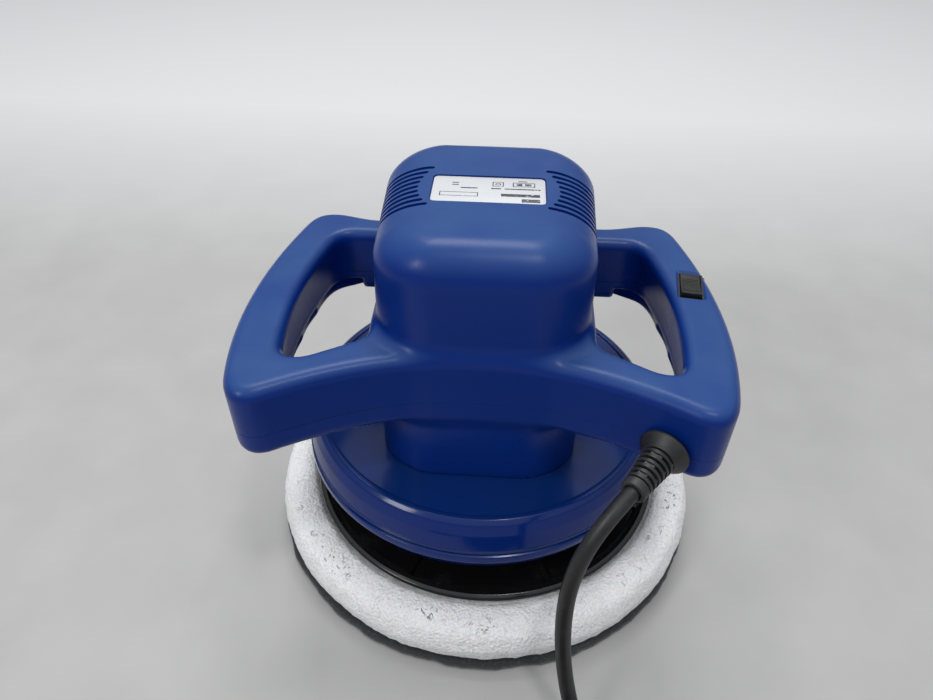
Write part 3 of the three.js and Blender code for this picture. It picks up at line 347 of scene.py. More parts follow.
steel = metal("turned_steel", (0.62, 0.63, 0.64), 0.32, 0.0006, 0.00001, (1, 1, 8))
zinc = metal("cast_zinc", (0.45, 0.46, 0.47), 0.50, 0.0012, 0.00006)
can_steel = metal("can_steel", (0.50, 0.51, 0.53), 0.38, 0.001, 0.00001, (1, 1, 0.1))
brass = metal("plug_brass", (0.78, 0.56, 0.24), 0.26, 0.0007, 0.00001, (4, 4, 1), (0.4, 0.24, 0.1))
iron = banded("laminated_iron", (0.34, 0.35, 0.37), (0.10, 0.10, 0.11), 0.0008, 0.00008, 0.5, 0.9)
copper = banded("wound_copper", (0.62, 0.24, 0.10), (0.22, 0.07, 0.03), 0.0011, 0.0002, 0.35, 0.9)
magnet = dull_black("magnet_ferrite", (0.030, 0.029, 0.030), 0.72, 0.0009, 0.00008)
carbon = dull_black("brush_carbon", (0.018, 0.018, 0.018), 0.65, 0.0006, 0.00005)


def board_finish():
    finish = Finish("circuit_board", (0.02, 0.13, 0.05), 0.40)
    x, y, _ = finish.separate()
    lanes = finish.math("SINE", finish.times(finish.plus(x, y), 1600))
    finish.color(finish.mix(finish.ramp(lanes, 0.55, 0.7), (0.02, 0.13, 0.05), (0.05, 0.24, 0.09)))
    finish.bump(lanes, 0.00003)
    return finish.material


def capacitor_finish():
    finish = Finish("capacitor_film", (0.60, 0.34, 0.05), 0.35)
    haze = finish.ramp(finish.noise(0.003, 3), 0.3, 0.8)
    finish.color(finish.mix(haze, (0.60, 0.34, 0.05), (0.48, 0.25, 0.04)))
    finish.bump(haze, 0.00004)
    return finish.material


board_green = board_finish()
capacitor_film = capacitor_finish()
print("metals and motor finishes ready")

# %% [markdown]
# ## Small tools for meshes
# Sizes are written in millimetres, as on a drawing, and turned to metres once, when a mesh
# is made. A finished piece gets smooth shading with its real edges kept sharp, a material,
# the body it rides on and the frame's pieces that it stands for.

# %% Mesh helpers
def mesh_from(name, points, faces):
    """A mesh from points in millimetres."""
    mesh = bpy.data.meshes.new(name)
    mesh.from_pydata([tuple(p) for p in np.asarray(points, float) * MM], [], faces)
    mesh.validate()
    return mesh


def shift(x, y, z):
    """The matrix that moves by so many millimetres."""
    return Matrix.Translation(Vector((x, y, z)) * MM)


def moved(mesh, matrix):
    mesh.transform(matrix)
    return mesh


def turn_outwards(mesh):
    """The mesh with its doubled points joined and its faces turned outwards."""
    work = bmesh.new()
    work.from_mesh(mesh)
    bmesh.ops.remove_doubles(work, verts=work.verts, dist=1e-7)
    bmesh.ops.recalc_face_normals(work, faces=work.faces)
    work.to_mesh(mesh)
    work.free()
    return mesh


def show(name, mesh, material, body, replaces=(), sharp=35):
    """Puts a finished mesh in the scene as one piece of the tool."""
    mesh.name = name
    mesh.materials.clear()
    mesh.materials.append(material)
    mesh.polygons.foreach_set("material_index", [0] * len(mesh.polygons))
    mesh.shade_smooth()
    mesh.set_sharp_from_angle(angle=math.radians(sharp))
    piece = placed(name, mesh)
    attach(piece, body)
    if replaces:
        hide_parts(*replaces)
    print(f"{name}: {len(mesh.polygons)} faces")
    return piece


def rounded(corners, steps=5, closed=True):
    """A line through 2-D corners (u, v, radius), each corner rounded to its radius."""
    line = []
    count = len(corners)
    for i, (u, v, radius) in enumerate(corners):
        here = Vector((u, v))
        if radius <= 0 or (not closed and i in (0, count - 1)):
            line.append((u, v))
            continue
        back = Vector(corners[i - 1][:2]) - here
        ahead = Vector(corners[(i + 1) % count][:2]) - here
        half = back.angle(ahead) / 2
        reach = min(radius / math.tan(half), back.length * 0.49, ahead.length * 0.49)
        start = here + back.normalized() * reach
        end = here + ahead.normalized() * reach
        for k in range(steps + 1):
            t = k / steps
            point = start * (1 - t) ** 2 + here * (2 * t * (1 - t)) + end * t ** 2
            line.append((point.x, point.y))
    return line


def lathe(name, line, sides, centre=(0, 0), ends_on_axis=False):
    """A closed line of (radius, height) turned around a vertical axis."""
    points = []
    faces = []
    count = len(line)
    for i in range(sides):
        angle = 2 * math.pi * i / sides
        for radius, height in line:
            points.append((centre[0] + radius * math.cos(angle),
                           centre[1] + radius * math.sin(angle), height))
    for i in range(sides):
        here, ahead = i * count, (i + 1) % sides * count
        for k in range(count - 1 if ends_on_axis else count):
            after = (k + 1) % count
            faces.append((here + k, ahead + k, ahead + after, here + after))
    return turn_outwards(mesh_from(name, points, faces))


def tapered(name, below, top, low, high):
    """A solid between two flat outlines of (x, y) that have equally many points."""
    count = len(top)
    points = [(x, y, low) for x, y in below] + [(x, y, high) for x, y in top]
    faces = [tuple(range(count))[::-1], tuple(range(count, 2 * count))]
    faces += [(i, (i + 1) % count, (i + 1) % count + count, i + count) for i in range(count)]
    return turn_outwards(mesh_from(name, points, faces))


def prism(name, outline, low, high):
    """A flat outline of (x, y) raised from low to high."""
    return tapered(name, outline, outline, low, high)


def box_outline(half_x, half_y, radius, centre=(0, 0), turn=0.0):
    """A rectangle with rounded corners, turned about its centre."""
    cos, sin = math.cos(turn), math.sin(turn)
    corners = [(-half_x, -half_y, radius), (half_x, -half_y, radius),
               (half_x, half_y, radius), (-half_x, half_y, radius)]
    return [(centre[0] + x * cos - y * sin, centre[1] + x * sin + y * cos)
            for x, y in rounded(corners)]


def evaluated(holder):
    """The mesh that an object's modifiers make; the object is then removed."""
    graph = bpy.context.evaluated_depsgraph_get()
    result = bpy.data.meshes.new_from_object(holder.evaluated_get(graph))
    bpy.data.objects.remove(holder)
    return result


def cut(mesh, cutters, operation="DIFFERENCE"):
    """The mesh with each cutter taken away, or joined or kept, one after the other."""
    body = placed("cut_body", mesh)
    tools = [placed("cut_tool", cutter) for cutter in cutters]
    for tool in tools:
        step = body.modifiers.new("cut", "BOOLEAN")
        step.operation = operation
        step.solver = "MANIFOLD"
        step.object = tool
    result = evaluated(body)
    for tool in tools:
        bpy.data.objects.remove(tool)
    return result


def bevelled(mesh, width, segments=3, angle=30):
    """The mesh with its edges rounded where they bend by more than the angle."""
    holder = placed("bevel", mesh)
    step = holder.modifiers.new("bevel", "BEVEL")
    step.width = width * MM
    step.segments = segments
    step.angle_limit = math.radians(angle)
    return evaluated(holder)


print("mesh helpers ready")

# %% [markdown]
# ## Geometry Nodes as a recipe
# What repeats on the tool, such as its slots, ribs and screws, is made by Geometry Nodes.
# A tree built in a script is easiest to read when each node takes one line, so this helper
# makes the group's named inputs, adds nodes, and turns the result into a plain mesh.

# %% Geometry Nodes helper
class Recipe(Nodes):
    """A Geometry Nodes tree with named inputs, used once to make a mesh."""

    def __init__(self, name, **sizes):
        self.name = name
        self.sizes = sizes
        self.group = bpy.data.node_groups.new(name, "GeometryNodeTree")
        super().__init__(self.group)
        face = self.group.interface
        face.new_socket("Geometry", in_out="INPUT", socket_type="NodeSocketGeometry")
        kinds = {float: "NodeSocketFloat", int: "NodeSocketInt",
                 bpy.types.Material: "NodeSocketMaterial"}
        self.sockets = {
            label: face.new_socket(label, in_out="INPUT", socket_type=kinds[type(value)])
            for label, value in sizes.items()}
        face.new_socket("Geometry", in_out="OUTPUT", socket_type="NodeSocketGeometry")
        self.inputs = self.nodes.new("NodeGroupInput").outputs
        self.output = self.nodes.new("NodeGroupOutput").inputs["Geometry"]

    def vector(self, x=0.0, y=0.0, z=0.0):
        return self.add("ShaderNodeCombineXYZ", X=x, Y=y, Z=z)[0]

    def index(self):
        return self.add("GeometryNodeInputIndex")[0]

    def cylinder(self, sides, radius, depth):
        return self.add("GeometryNodeMeshCylinder", Vertices=sides, Radius=radius,
                        Depth=depth)[0]

    def cube(self, x, y, z):
        return self.add("GeometryNodeMeshCube", Size=self.vector(x, y, z))[0]

    def shifted(self, geometry, x=0.0, y=0.0, z=0.0):
        return self.add("GeometryNodeTransform", Geometry=geometry,
                        Translation=self.vector(x, y, z))[0]

    def join(self, *parts):
        made = self.nodes.new("GeometryNodeJoinGeometry")
        for part in reversed(parts):
            self.links.new(part, made.inputs[0])
        return made.outputs[0]

    def row(self, count, one, place, **changes):
        """Copies of one; the place is worked out from each copy's index."""
        line = self.add("GeometryNodeMeshLine", Count=count)[0]
        spots = self.add("GeometryNodeSetPosition", Geometry=line, Position=place)[0]
        return self.add("GeometryNodeInstanceOnPoints", Points=spots, Instance=one, **changes)[0]

    def mesh(self, geometry, points=()):
        """Realizes the geometry with its finish and returns it as a plain mesh."""
        plain = self.add("GeometryNodeRealizeInstances", Geometry=geometry)[0]
        coated = self.add("GeometryNodeSetMaterial", Geometry=plain,
                          Material=self.inputs["Finish"])[0]
        self.links.new(coated, self.output)
        holder = placed(self.name, mesh_from(self.name, points, []))
        modifier = holder.modifiers.new(self.name, "NODES")
        modifier.node_group = self.group
        for label, value in self.sizes.items():
            modifier[self.sockets[label].identifier] = value
        result = evaluated(holder)
        print(f"{self.name}: {len(result.polygons)} faces from nodes")
        return result


print("recipes ready")

# %% [markdown]
# ## The housing as a distance rule
# Moulded housings have no hard corners: every edge and every place where a handle grows out
# of the tower has a radius. A distance rule gives that by itself. It says how far a point is
# from the surface, negative inside: a rounded box for the tower, a drawn outline raised to
# the handles' depth, and a soft minimum of the two that leaves a fillet where they meet.

# %% Housing sizes
SEAM = 127.0
SHELL_WALL = 3.0
TOWER_MIDDLE_Y = -2.0
TOWER_FOOT = 78.3
TOWER_TOP = 200.3
TOWER_HALF = (50.4, 60.5)
TOWER_DRAFT = (0.013, 0.03)
TOWER_TAPER = 0.057
TOWER_CORNER = 28.0
TOWER_TOP_RISE = 16.5
TOWER_TOP_RADIUS = 16.5
TOWER_SHOULDER = 26.0
HANDLE_LOW, HANDLE_HIGH = 114.0, 152.0
HANDLE_EDGE = 5.8
FRONT_Y, FRONT_SWEEP = -61.4, 25.6
HOLE_INNER, HOLE_OUTER, HOLE_FAR_OUTER = 50.5, 86.0, 82.5
HOLE_NEAR, HOLE_NEAR_OUTER, HOLE_FAR = -46.8, -54.1, 38.0
HOLE_DRAFT = 0.11
GRIP_NEAR, GRIP_FAR, GRIP_MIDDLE_Y = (106.2, -74.2), (100.6, 46.0), -20.3
GRIP_BULGE = 12.1
FAR_WALL = (58.0, 55.0)
FAR_PEAK = (84.5, 59.8)
GROOVE_PITCH, GROOVE_DEPTH, GROOVE_COUNT = 20.0, 1.6, 4


def front_wall(x):
    """How far forward the handles' near face stands at a place across the tool."""
    return FRONT_Y - FRONT_SWEEP * (x / HOLE_OUTER) ** 2


def bezier(*controls, steps=16):
    """Points along a quadratic or cubic curve, without its last one."""
    t = np.linspace(0, 1, steps, endpoint=False)[:, None]
    controls = [np.array(c, float) for c in controls]
    degree = len(controls) - 1
    return sum(math.comb(degree, i) * (1 - t) ** (degree - i) * t ** i * c
               for i, c in enumerate(controls))


def handle_outline():
    """Both handles from above, as one closed line."""
    x = np.linspace(0, HOLE_OUTER, 24)
    near = np.stack([x, front_wall(x)], 1)
    sweep = (HOLE_OUTER, front_wall(HOLE_OUTER))
    half = np.concatenate([
        near[:-1],
        bezier(sweep, (sweep[0] + 8, sweep[1] - 4.8),
               (GRIP_NEAR[0] - 3.5, GRIP_NEAR[1] - 16), GRIP_NEAR),
        bezier(GRIP_NEAR, (GRIP_NEAR[0] + GRIP_BULGE, GRIP_MIDDLE_Y), GRIP_FAR, steps=32),
        bezier(GRIP_FAR, (GRIP_FAR[0] - 2.7, GRIP_FAR[1] + 10.7),
               (FAR_PEAK[0] + 8, FAR_PEAK[1]), FAR_PEAK),
        bezier(FAR_PEAK, (FAR_PEAK[0] - 8, FAR_PEAK[1]), (FAR_WALL[0] + 12, FAR_WALL[1]),
               FAR_WALL),
        [FAR_WALL]])
    mirrored = half[1:][::-1] * (-1, 1)
    return np.concatenate([half, mirrored])


def hole_outline():
    """The right grip's finger opening from above."""
    bend = (HOLE_INNER + 5.5, HOLE_NEAR - 3.2)
    near_end = (HOLE_OUTER - 14, front_wall(HOLE_OUTER - 14) + 19.8)
    near_outer = (HOLE_OUTER, HOLE_NEAR_OUTER)
    far_outer = (HOLE_FAR_OUTER, HOLE_FAR - 12)
    far_end = (HOLE_FAR_OUTER - 12.5, HOLE_FAR)
    return np.concatenate([
        bezier((HOLE_INNER, HOLE_NEAR + 7), (HOLE_INNER, HOLE_NEAR), bend),
        [bend],
        bezier(near_end, (near_end[0] + 6, HOLE_NEAR_OUTER - 9),
               (HOLE_OUTER - 0.4, HOLE_NEAR_OUTER - 9), near_outer),
        bezier(near_outer, (HOLE_OUTER + 5.7, GRIP_MIDDLE_Y + 6), far_outer, steps=28),
        bezier(far_outer, (HOLE_FAR_OUTER - 1.6, HOLE_FAR - 5),
               (HOLE_FAR_OUTER - 4.5, HOLE_FAR), far_end),
        [far_end],
        bezier((HOLE_INNER + 5, HOLE_FAR), (HOLE_INNER, HOLE_FAR), (HOLE_INNER, HOLE_FAR - 5)),
        [(HOLE_INNER, HOLE_FAR - 5)]])


print("handle outline has", len(handle_outline()), "points")

# %% [markdown]
# ## Looking up the outline's distance
# The distance to a drawn outline is slow to work out for millions of points. It is worked
# out once on a half-millimetre grid and then read from that table, which is what a game
# engine does for the same reason.

# %% Distance table
TABLE_LOW = np.array([-4.0, -116.0])
TABLE_STEP = 0.5


def distance_table(outline):
    """Signed distance to a closed outline, negative inside, over the right half."""
    xs = np.arange(TABLE_LOW[0], 128, TABLE_STEP)
    ys = np.arange(TABLE_LOW[1], 80, TABLE_STEP)
    px, py = (a.ravel() for a in np.meshgrid(xs, ys, indexing="ij"))
    nearest = np.full(px.shape, 1e9)
    inside = np.zeros(px.shape, bool)
    for (ax, ay), (bx, by) in zip(outline, np.roll(outline, -1, axis=0)):
        dx, dy = bx - ax, by - ay
        t = np.clip(((px - ax) * dx + (py - ay) * dy) / (dx * dx + dy * dy), 0, 1)
        nearest = np.minimum(nearest, np.hypot(px - ax - t * dx, py - ay - t * dy))
        if ay != by:
            crosses = (ay > py) != (by > py)
            inside ^= crosses & (px < ax + (py - ay) / (by - ay) * dx)
    return np.where(inside, -nearest, nearest).reshape(len(xs), len(ys))


def look_up(table, x, y):
    """The table's distance at any place, evened out between its four nearest entries."""
    u = np.clip((x - TABLE_LOW[0]) / TABLE_STEP, 0, table.shape[0] - 1.001)
    v = np.clip((y - TABLE_LOW[1]) / TABLE_STEP, 0, table.shape[1] - 1.001)
    i, j = u.astype(int), v.astype(int)
    u, v = u - i, v - j
    return ((table[i, j] * (1 - u) + table[i + 1, j] * u) * (1 - v)
            + (table[i, j + 1] * (1 - u) + table[i + 1, j + 1] * u) * v)


outline_table = distance_table(handle_outline())
hole_table = distance_table(hole_outline())
print("table size", outline_table.shape)

# %% [markdown]
# ## The rule itself
# The grip's hole widens a little towards the bottom, as a moulding must to leave its tool,
# and shallow finger grooves run along the lower half of the grips.

# %% Housing rule
def rounded_raise(flat, height, width, rise):
    """An outline's distance raised to a height, its edges bent over width and rise."""
    u, v = np.maximum(flat + width, 0), np.maximum(height + rise, 0)
    share = np.maximum(np.hypot(u / width, v / rise), 1e-6)
    bent = (share - 1) * np.hypot(u, v) / share
    return np.where((u > 0) | (v > 0), bent, np.maximum(flat, height))


def soft_min(a, b, reach):
    """The smaller distance, with a fillet where the two are within reach of each other."""
    h = np.maximum(reach - np.abs(a - b), 0) / reach
    return np.minimum(a, b) - h * h * reach / 4


def tower_rule(x, y, z):
    """Distance to the tower, whose plan narrows towards the front and the top."""
    wider = 1 + TOWER_TAPER * np.clip((y - TOWER_MIDDLE_Y) / TOWER_HALF[1], -1, 0.6)
    half_x = (TOWER_HALF[0] - (z - TOWER_FOOT) * TOWER_DRAFT[0]) * wider
    half_y = TOWER_HALF[1] - (z - TOWER_FOOT) * TOWER_DRAFT[1]
    u = np.abs(x) - half_x + TOWER_CORNER
    v = np.abs(y - TOWER_MIDDLE_Y) - half_y + TOWER_CORNER
    corner = np.hypot(np.maximum(u, 0), np.maximum(v, 0))
    flat = corner + np.minimum(np.maximum(u, v), 0) - TOWER_CORNER
    sideways = np.clip(0.5 + 1.4 * (np.abs(x) / half_x - np.abs(y - TOWER_MIDDLE_Y) / half_y), 0, 1)
    bend = TOWER_TOP_RADIUS + (TOWER_SHOULDER - TOWER_TOP_RADIUS) * sideways
    crown = 0.5 * (y / 60) ** 2 - 0.4 * (x / 49) ** 2
    body = rounded_raise(flat, z - TOWER_TOP - crown, bend, TOWER_TOP_RISE)
    return np.maximum(body, TOWER_FOOT - z)


def groove_rule(x, y, z):
    """Distance to the shallow drums that cut the finger grooves."""
    radius = ((GROOVE_PITCH / 2) ** 2 + GROOVE_DEPTH ** 2) / (2 * GROOVE_DEPTH)
    nearest = np.full(x.shape, 1e9)
    for i in range(GROOVE_COUNT):
        middle = GRIP_MIDDLE_Y + 6 + (i - (GROOVE_COUNT - 1) / 2) * GROOVE_PITCH
        t = (middle - HOLE_NEAR_OUTER) / (HOLE_FAR - 12 - HOLE_NEAR_OUTER)
        wall = ((1 - t) ** 2 * HOLE_OUTER + 2 * t * (1 - t) * (HOLE_OUTER + 5.7)
                + t ** 2 * HOLE_FAR_OUTER)
        wall += (wall - HOLE_INNER) * HOLE_DRAFT * 0.75
        drum = np.hypot(x - wall - GROOVE_DEPTH + radius, y - middle) - radius
        nearest = np.minimum(nearest, drum)
    return np.maximum(np.maximum(nearest, z - SEAM + 5), 70 - x)


def housing_rule(points):
    """Distance to the whole housing, whose two sides mirror each other."""
    x, y, z = np.abs(points[:, 0]), points[:, 1], points[:, 2]
    fall = np.clip((HANDLE_HIGH - z) / (HANDLE_HIGH - HANDLE_LOW), 0, 1)
    hole_x = HOLE_INNER + (x - HOLE_INNER) / (1 + HOLE_DRAFT * fall)
    flat = np.maximum(look_up(outline_table, x, y), -look_up(hole_table, hole_x, y))
    middle = (HANDLE_LOW + HANDLE_HIGH) / 2
    depth = (HANDLE_HIGH - HANDLE_LOW) / 2
    handles = rounded_raise(flat, np.abs(z - middle) - depth, HANDLE_EDGE, HANDLE_EDGE)
    handles = -soft_min(-handles, groove_rule(x, y, z), 2.0)
    return soft_min(tower_rule(x, y, z), handles, 7.0)


print("at the tower's middle the rule says", housing_rule(np.array([[0.0, 0.0, 150.0]])))

# %% [markdown]
# ## From a rule to a mesh
# Each small cube that the surface crosses gets one point, and points of neighbouring cubes
# are joined by quads. The points then slide onto the exact surface, which leaves no trace of
# the grid on the finished skin.

# %% Surface mesh
CUBE_CORNERS = np.array([(i, j, k) for i in (0, 1) for j in (0, 1) for k in (0, 1)])
CUBE_EDGES = [(a, b) for a in range(8) for b in range(a + 1, 8)
              if np.abs(CUBE_CORNERS[a] - CUBE_CORNERS[b]).sum() == 1]


def settle(points, rule):
    """Moves points straight onto the rule's surface."""
    probe = 0.05
    for _ in range(2):
        value = rule(points)
        slope = np.stack([rule(points + np.eye(3)[k] * probe) - value for k in range(3)], 1)
        slope /= probe
        step = value / np.maximum((slope ** 2).sum(1), 0.2)
        points = points - slope * np.clip(step, -1, 1)[:, None]
    return points


def relax(points, faces, rounds, rule):
    """Evens out the quads along the surface."""
    quads = np.array(faces)
    pairs = np.concatenate([quads[:, [i, (i + 1) % 4]] for i in range(4)])
    count = np.bincount(pairs[:, 0], minlength=len(points))
    count += np.bincount(pairs[:, 1], minlength=len(points))
    for _ in range(rounds):
        total = np.zeros_like(points)
        for a, b in ((0, 1), (1, 0)):
            for axis in range(3):
                total[:, axis] += np.bincount(pairs[:, a], points[pairs[:, b], axis],
                                              minlength=len(points))
        points = settle(points * 0.4 + total / count[:, None] * 0.6, rule)
    return points


def surface(name, rule, low, high, step, rounds=3):
    """A mesh of quads on the surface where the rule is zero."""
    axes_ = [np.arange(a, b + step, step) for a, b in zip(low, high)]
    grid = np.stack(np.meshgrid(*axes_, indexing="ij"), -1)
    shape = grid.shape[:3]
    value = np.concatenate([rule(slab.reshape(-1, 3)) for slab in grid]).reshape(shape)
    inside = value < 0
    cells = tuple(n - 1 for n in shape)
    corners = [inside[i:i + cells[0], j:j + cells[1], k:k + cells[2]] for i, j, k in CUBE_CORNERS]
    some = np.logical_or.reduce(corners)
    every = np.logical_and.reduce(corners)
    active = np.argwhere(some & ~every)
    at = [tuple((active + c).T) for c in CUBE_CORNERS]
    total = np.zeros((len(active), 3))
    hits = np.zeros(len(active))
    for a, b in CUBE_EDGES:
        va, vb = value[at[a]], value[at[b]]
        crossed = (va < 0) != (vb < 0)
        t = np.where(crossed, va / np.where(crossed, va - vb, 1), 0)[:, None]
        total += np.where(crossed[:, None], grid[at[a]] * (1 - t) + grid[at[b]] * t, 0)
        hits += crossed
    points = total / hits[:, None]
    number = np.full(cells, -1)
    number[tuple(active.T)] = np.arange(len(active))
    faces = []
    for axis in range(3):
        first, second = (axis + 1) % 3, (axis + 2) % 3
        lower = [slice(None)] * 3
        upper = [slice(None)] * 3
        lower[axis], upper[axis] = slice(0, -1), slice(1, None)
        change = inside[tuple(lower)] != inside[tuple(upper)]
        edges = np.argwhere(change)
        keep = (edges[:, first] > 0) & (edges[:, second] > 0)
        keep &= (edges[:, first] < cells[first]) & (edges[:, second] < cells[second])
        edges = edges[keep]
        leaving = inside[tuple(edges.T)]
        ring = []
        for du, dv in ((1, 1), (0, 1), (0, 0), (1, 0)):
            cell = edges.copy()
            cell[:, first] -= du
            cell[:, second] -= dv
            ring.append(number[tuple(cell.T)])
        quads = np.stack(ring, 1)
        quads[~leaving] = quads[~leaving][:, ::-1]
        faces.append(quads)
    faces = np.concatenate(faces)
    points = relax(settle(points, rule), faces, rounds, rule)
    return mesh_from(name, points, faces.tolist())


STEP = 1.15
skin = surface("housing_skin", housing_rule, (-122, -100, 75), (122, 70, 204), STEP)
print("housing skin:", len(skin.polygons), "quads")

# %% [markdown]
# ## Two shells from one skin
# The housing is moulded as two hollow shells that meet along a seam through the handles.
# The skin is hollowed with the same rule, 3 mm further in, with solid posts left for the
# screws. Then the openings are cut, and a saw cut a third of a millimetre wide at the seam
# parts the two shells, so the fine dark line around the handles is a real gap.

# %% Screw places and cavity
def middle_of(node):
    low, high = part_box(node)
    return (low + high) / 2 / MM


housing_screws = [f"housing_screw_{i}" for i in range(1, 7)]
shroud_screws = [f"shroud_screw_{i}" for i in range(1, 5)]
posts = [middle_of(name) for name in housing_screws]
neck_posts = [middle_of(name) for name in shroud_screws]
POST_RADIUS = 4.9


def cavity_rule(points):
    """Distance to the housing's hollow, which leaves the screw posts standing."""
    hollow = np.maximum(housing_rule(points) + SHELL_WALL, TOWER_FOOT + SHELL_WALL - points[:, 2])
    for post in posts + neck_posts:
        away = np.hypot(points[:, 0] - post.x, points[:, 1] - post.y)
        hollow = np.maximum(hollow, POST_RADIUS - away)
    return hollow


cavity = surface("cavity", cavity_rule, (-120, -98, 76), (120, 68, 201), 2.6, rounds=1)
print("cavity:", len(cavity.polygons), "quads")

# %% [markdown]
# ## Cooling slots
# Nine slots on each side run over the tower's shoulders. Each is the path of a thin blade
# with a round end, so one blade is built and placed along a line, and the blades' inner
# ends follow a shallow arc. The recipe takes the count, pitch and width as named inputs.

# %% Slot blades
def slot_blades(side):
    recipe = Recipe("slot_blades", Count=9, Pitch=0.0043, Width=0.0024, Low=0.172, Height=0.04,
                    Middle=0.0325, End=0.0268, Length=0.04, Finish=shell_plastic)
    size = recipe.inputs
    tip = recipe.cylinder(12, recipe.times(size["Width"], 0.5), size["Height"])
    tail = recipe.shifted(tip, size["Length"])
    blade = recipe.add("GeometryNodeConvexHull", Geometry=recipe.join(tip, tail))[0]
    length = recipe.times(recipe.minus(size["Count"], 1), size["Pitch"])
    half = recipe.times(length, 0.5)
    y = recipe.minus(recipe.times(recipe.index(), size["Pitch"]), half)
    share = recipe.math("POWER", recipe.math("ABSOLUTE", recipe.over(y, half)), 2.0)
    fall = recipe.times(share, recipe.minus(size["Middle"], size["End"]))
    z = recipe.plus(size["Low"], recipe.times(size["Height"], 0.5))
    place = recipe.vector(recipe.minus(size["Middle"], fall), y, z)
    mesh = recipe.mesh(recipe.row(size["Count"], blade, place))
    return moved(mesh, Matrix.Rotation(math.pi, 4, "Z")) if side < 0 else mesh


blades = [slot_blades(1), slot_blades(-1)]

# %% [markdown]
# ## Openings in the shells
# The label lies in a shallow pocket, the rocker comes up through a window with a sunk rim,
# and the strain relief's flange sits on a flat seat cut into both shells.

# %% Cutters
SWITCH = (98.8, 1.5)
SWITCH_TURN = math.radians(-8)
LABEL_HALF = (25.0, 12.0)
LABEL_MIDDLE = (0.0, TOWER_MIDDLE_Y)
GLAND_X = 79.0
GLAND_SEAT = 1.6
GLAND_FLANGE = 11.0
POCKET_FLOOR = 199.3
PILOT_RADIUS = 1.9
HEAD_ROOM_RADIUS = 3.8
gland_frame = (shift(GLAND_X, front_wall(GLAND_X), SEAM)
               @ Matrix.Rotation(math.radians(-36), 4, "Z")
               @ Matrix.Rotation(math.radians(94), 4, "X"))


def rod(radius, low, high, x=0.0, y=0.0, sides=32):
    line = [(0, low), (radius, low), (radius, high), (0, high)]
    return lathe("rod", line, sides, (x, y), ends_on_axis=True)


cutters = [
    prism("pocket", box_outline(LABEL_HALF[0] + 0.5, LABEL_HALF[1] + 0.5, 3, LABEL_MIDDLE),
          POCKET_FLOOR, 210),
    prism("window", box_outline(5.4, 10.2, 0.8, SWITCH, SWITCH_TURN), 140, 170),
    prism("switch_room", box_outline(6.6, 11.6, 1.0, SWITCH, SWITCH_TURN), 132, 150.4),
    tapered("sunk_rim", box_outline(5.8, 10.7, 1.2, SWITCH, SWITCH_TURN),
            box_outline(7.6, 12.5, 1.2, SWITCH, SWITCH_TURN), 150.9, 152.6),
    moved(rod(GLAND_FLANGE + 0.3, GLAND_SEAT - 0.3, 30), gland_frame),
    moved(rod(5.9, -12, 8), gland_frame),
]
for post in posts:
    cutters += [rod(HEAD_ROOM_RADIUS, 100, 118.9, post.x, post.y),
                rod(PILOT_RADIUS, 110, 143, post.x, post.y)]
for post in neck_posts:
    cutters.append(rod(PILOT_RADIUS, 70, 94, post.x, post.y))
print(len(cutters), "cutters besides the slots")

# %% Cut and part the shells
hollow = cut(skin, [cavity, *blades, *cutters])
FAR = 300
HALF_SEAM_GAP = 0.17


def shell(name, source, low, high, replaces):
    """The part of the housing between two heights."""
    between = prism("between", box_outline(FAR, FAR, 0), low, high)
    show(name, cut(source, [between], "INTERSECT"), shell_plastic, "housing",
         [replaces], sharp=40)


shell("upper_shell", hollow.copy(), SEAM + HALF_SEAM_GAP, FAR, "upper_housing")
shell("lower_shell", hollow, -FAR, SEAM - HALF_SEAM_GAP, "lower_housing")

# %% [markdown]
# ## Shroud
# The shroud is turned round one axis: a flat top, a raised bead that catches the light, a
# sloping band, a pair of fine grooves and a lip that curls under. A drawn profile turned on
# a lathe is the natural way, with each corner rounded as the mould rounds it.

# %% Shroud
SHROUD_SIDES = 192
shroud_line = rounded([
    (24, 75, 0), (85.4, 75, 1), (89.9, 66, 2), (89.9, 49.2, 0.4), (92.8, 49, 0.9),
    (95.8, 55.5, 2.4), (95.7, 59.4, 0.7), (93.9, 60.0, 0.2), (93.9, 61.0, 0.2),
    (95.0, 61.4, 0.4), (95.0, 62.2, 0.3), (94.3, 62.6, 0.2), (94.3, 63.2, 0.2),
    (94.9, 63.6, 0.5), (93.2, 72.0, 7), (90.9, 77.4, 2.6), (88.6, 79.4, 1.4),
    (86.4, 79.0, 1.0), (85.6, 78, 0.8), (24, 78, 0),
])
shroud_mesh = lathe("shroud", shroud_line, SHROUD_SIDES)
shroud_holes = [rod(2.0, 70, 82, post.x, post.y, 16) for post in neck_posts]
show("shroud", cut(shroud_mesh, shroud_holes), shroud_plastic, "housing",
     ["base_shroud"], sharp=50)

# %% [markdown]
# ## Screws
# Ten identical screws hold the shells and the shroud. One screw with a cross recess is
# built by nodes and placed on points, which is how repeated hardware is best made.

# %% Screws
def head_places(names):
    """The lowest point of each screw's head."""
    return [(*middle_of(name)[:2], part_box(name)[0].z / MM) for name in names]


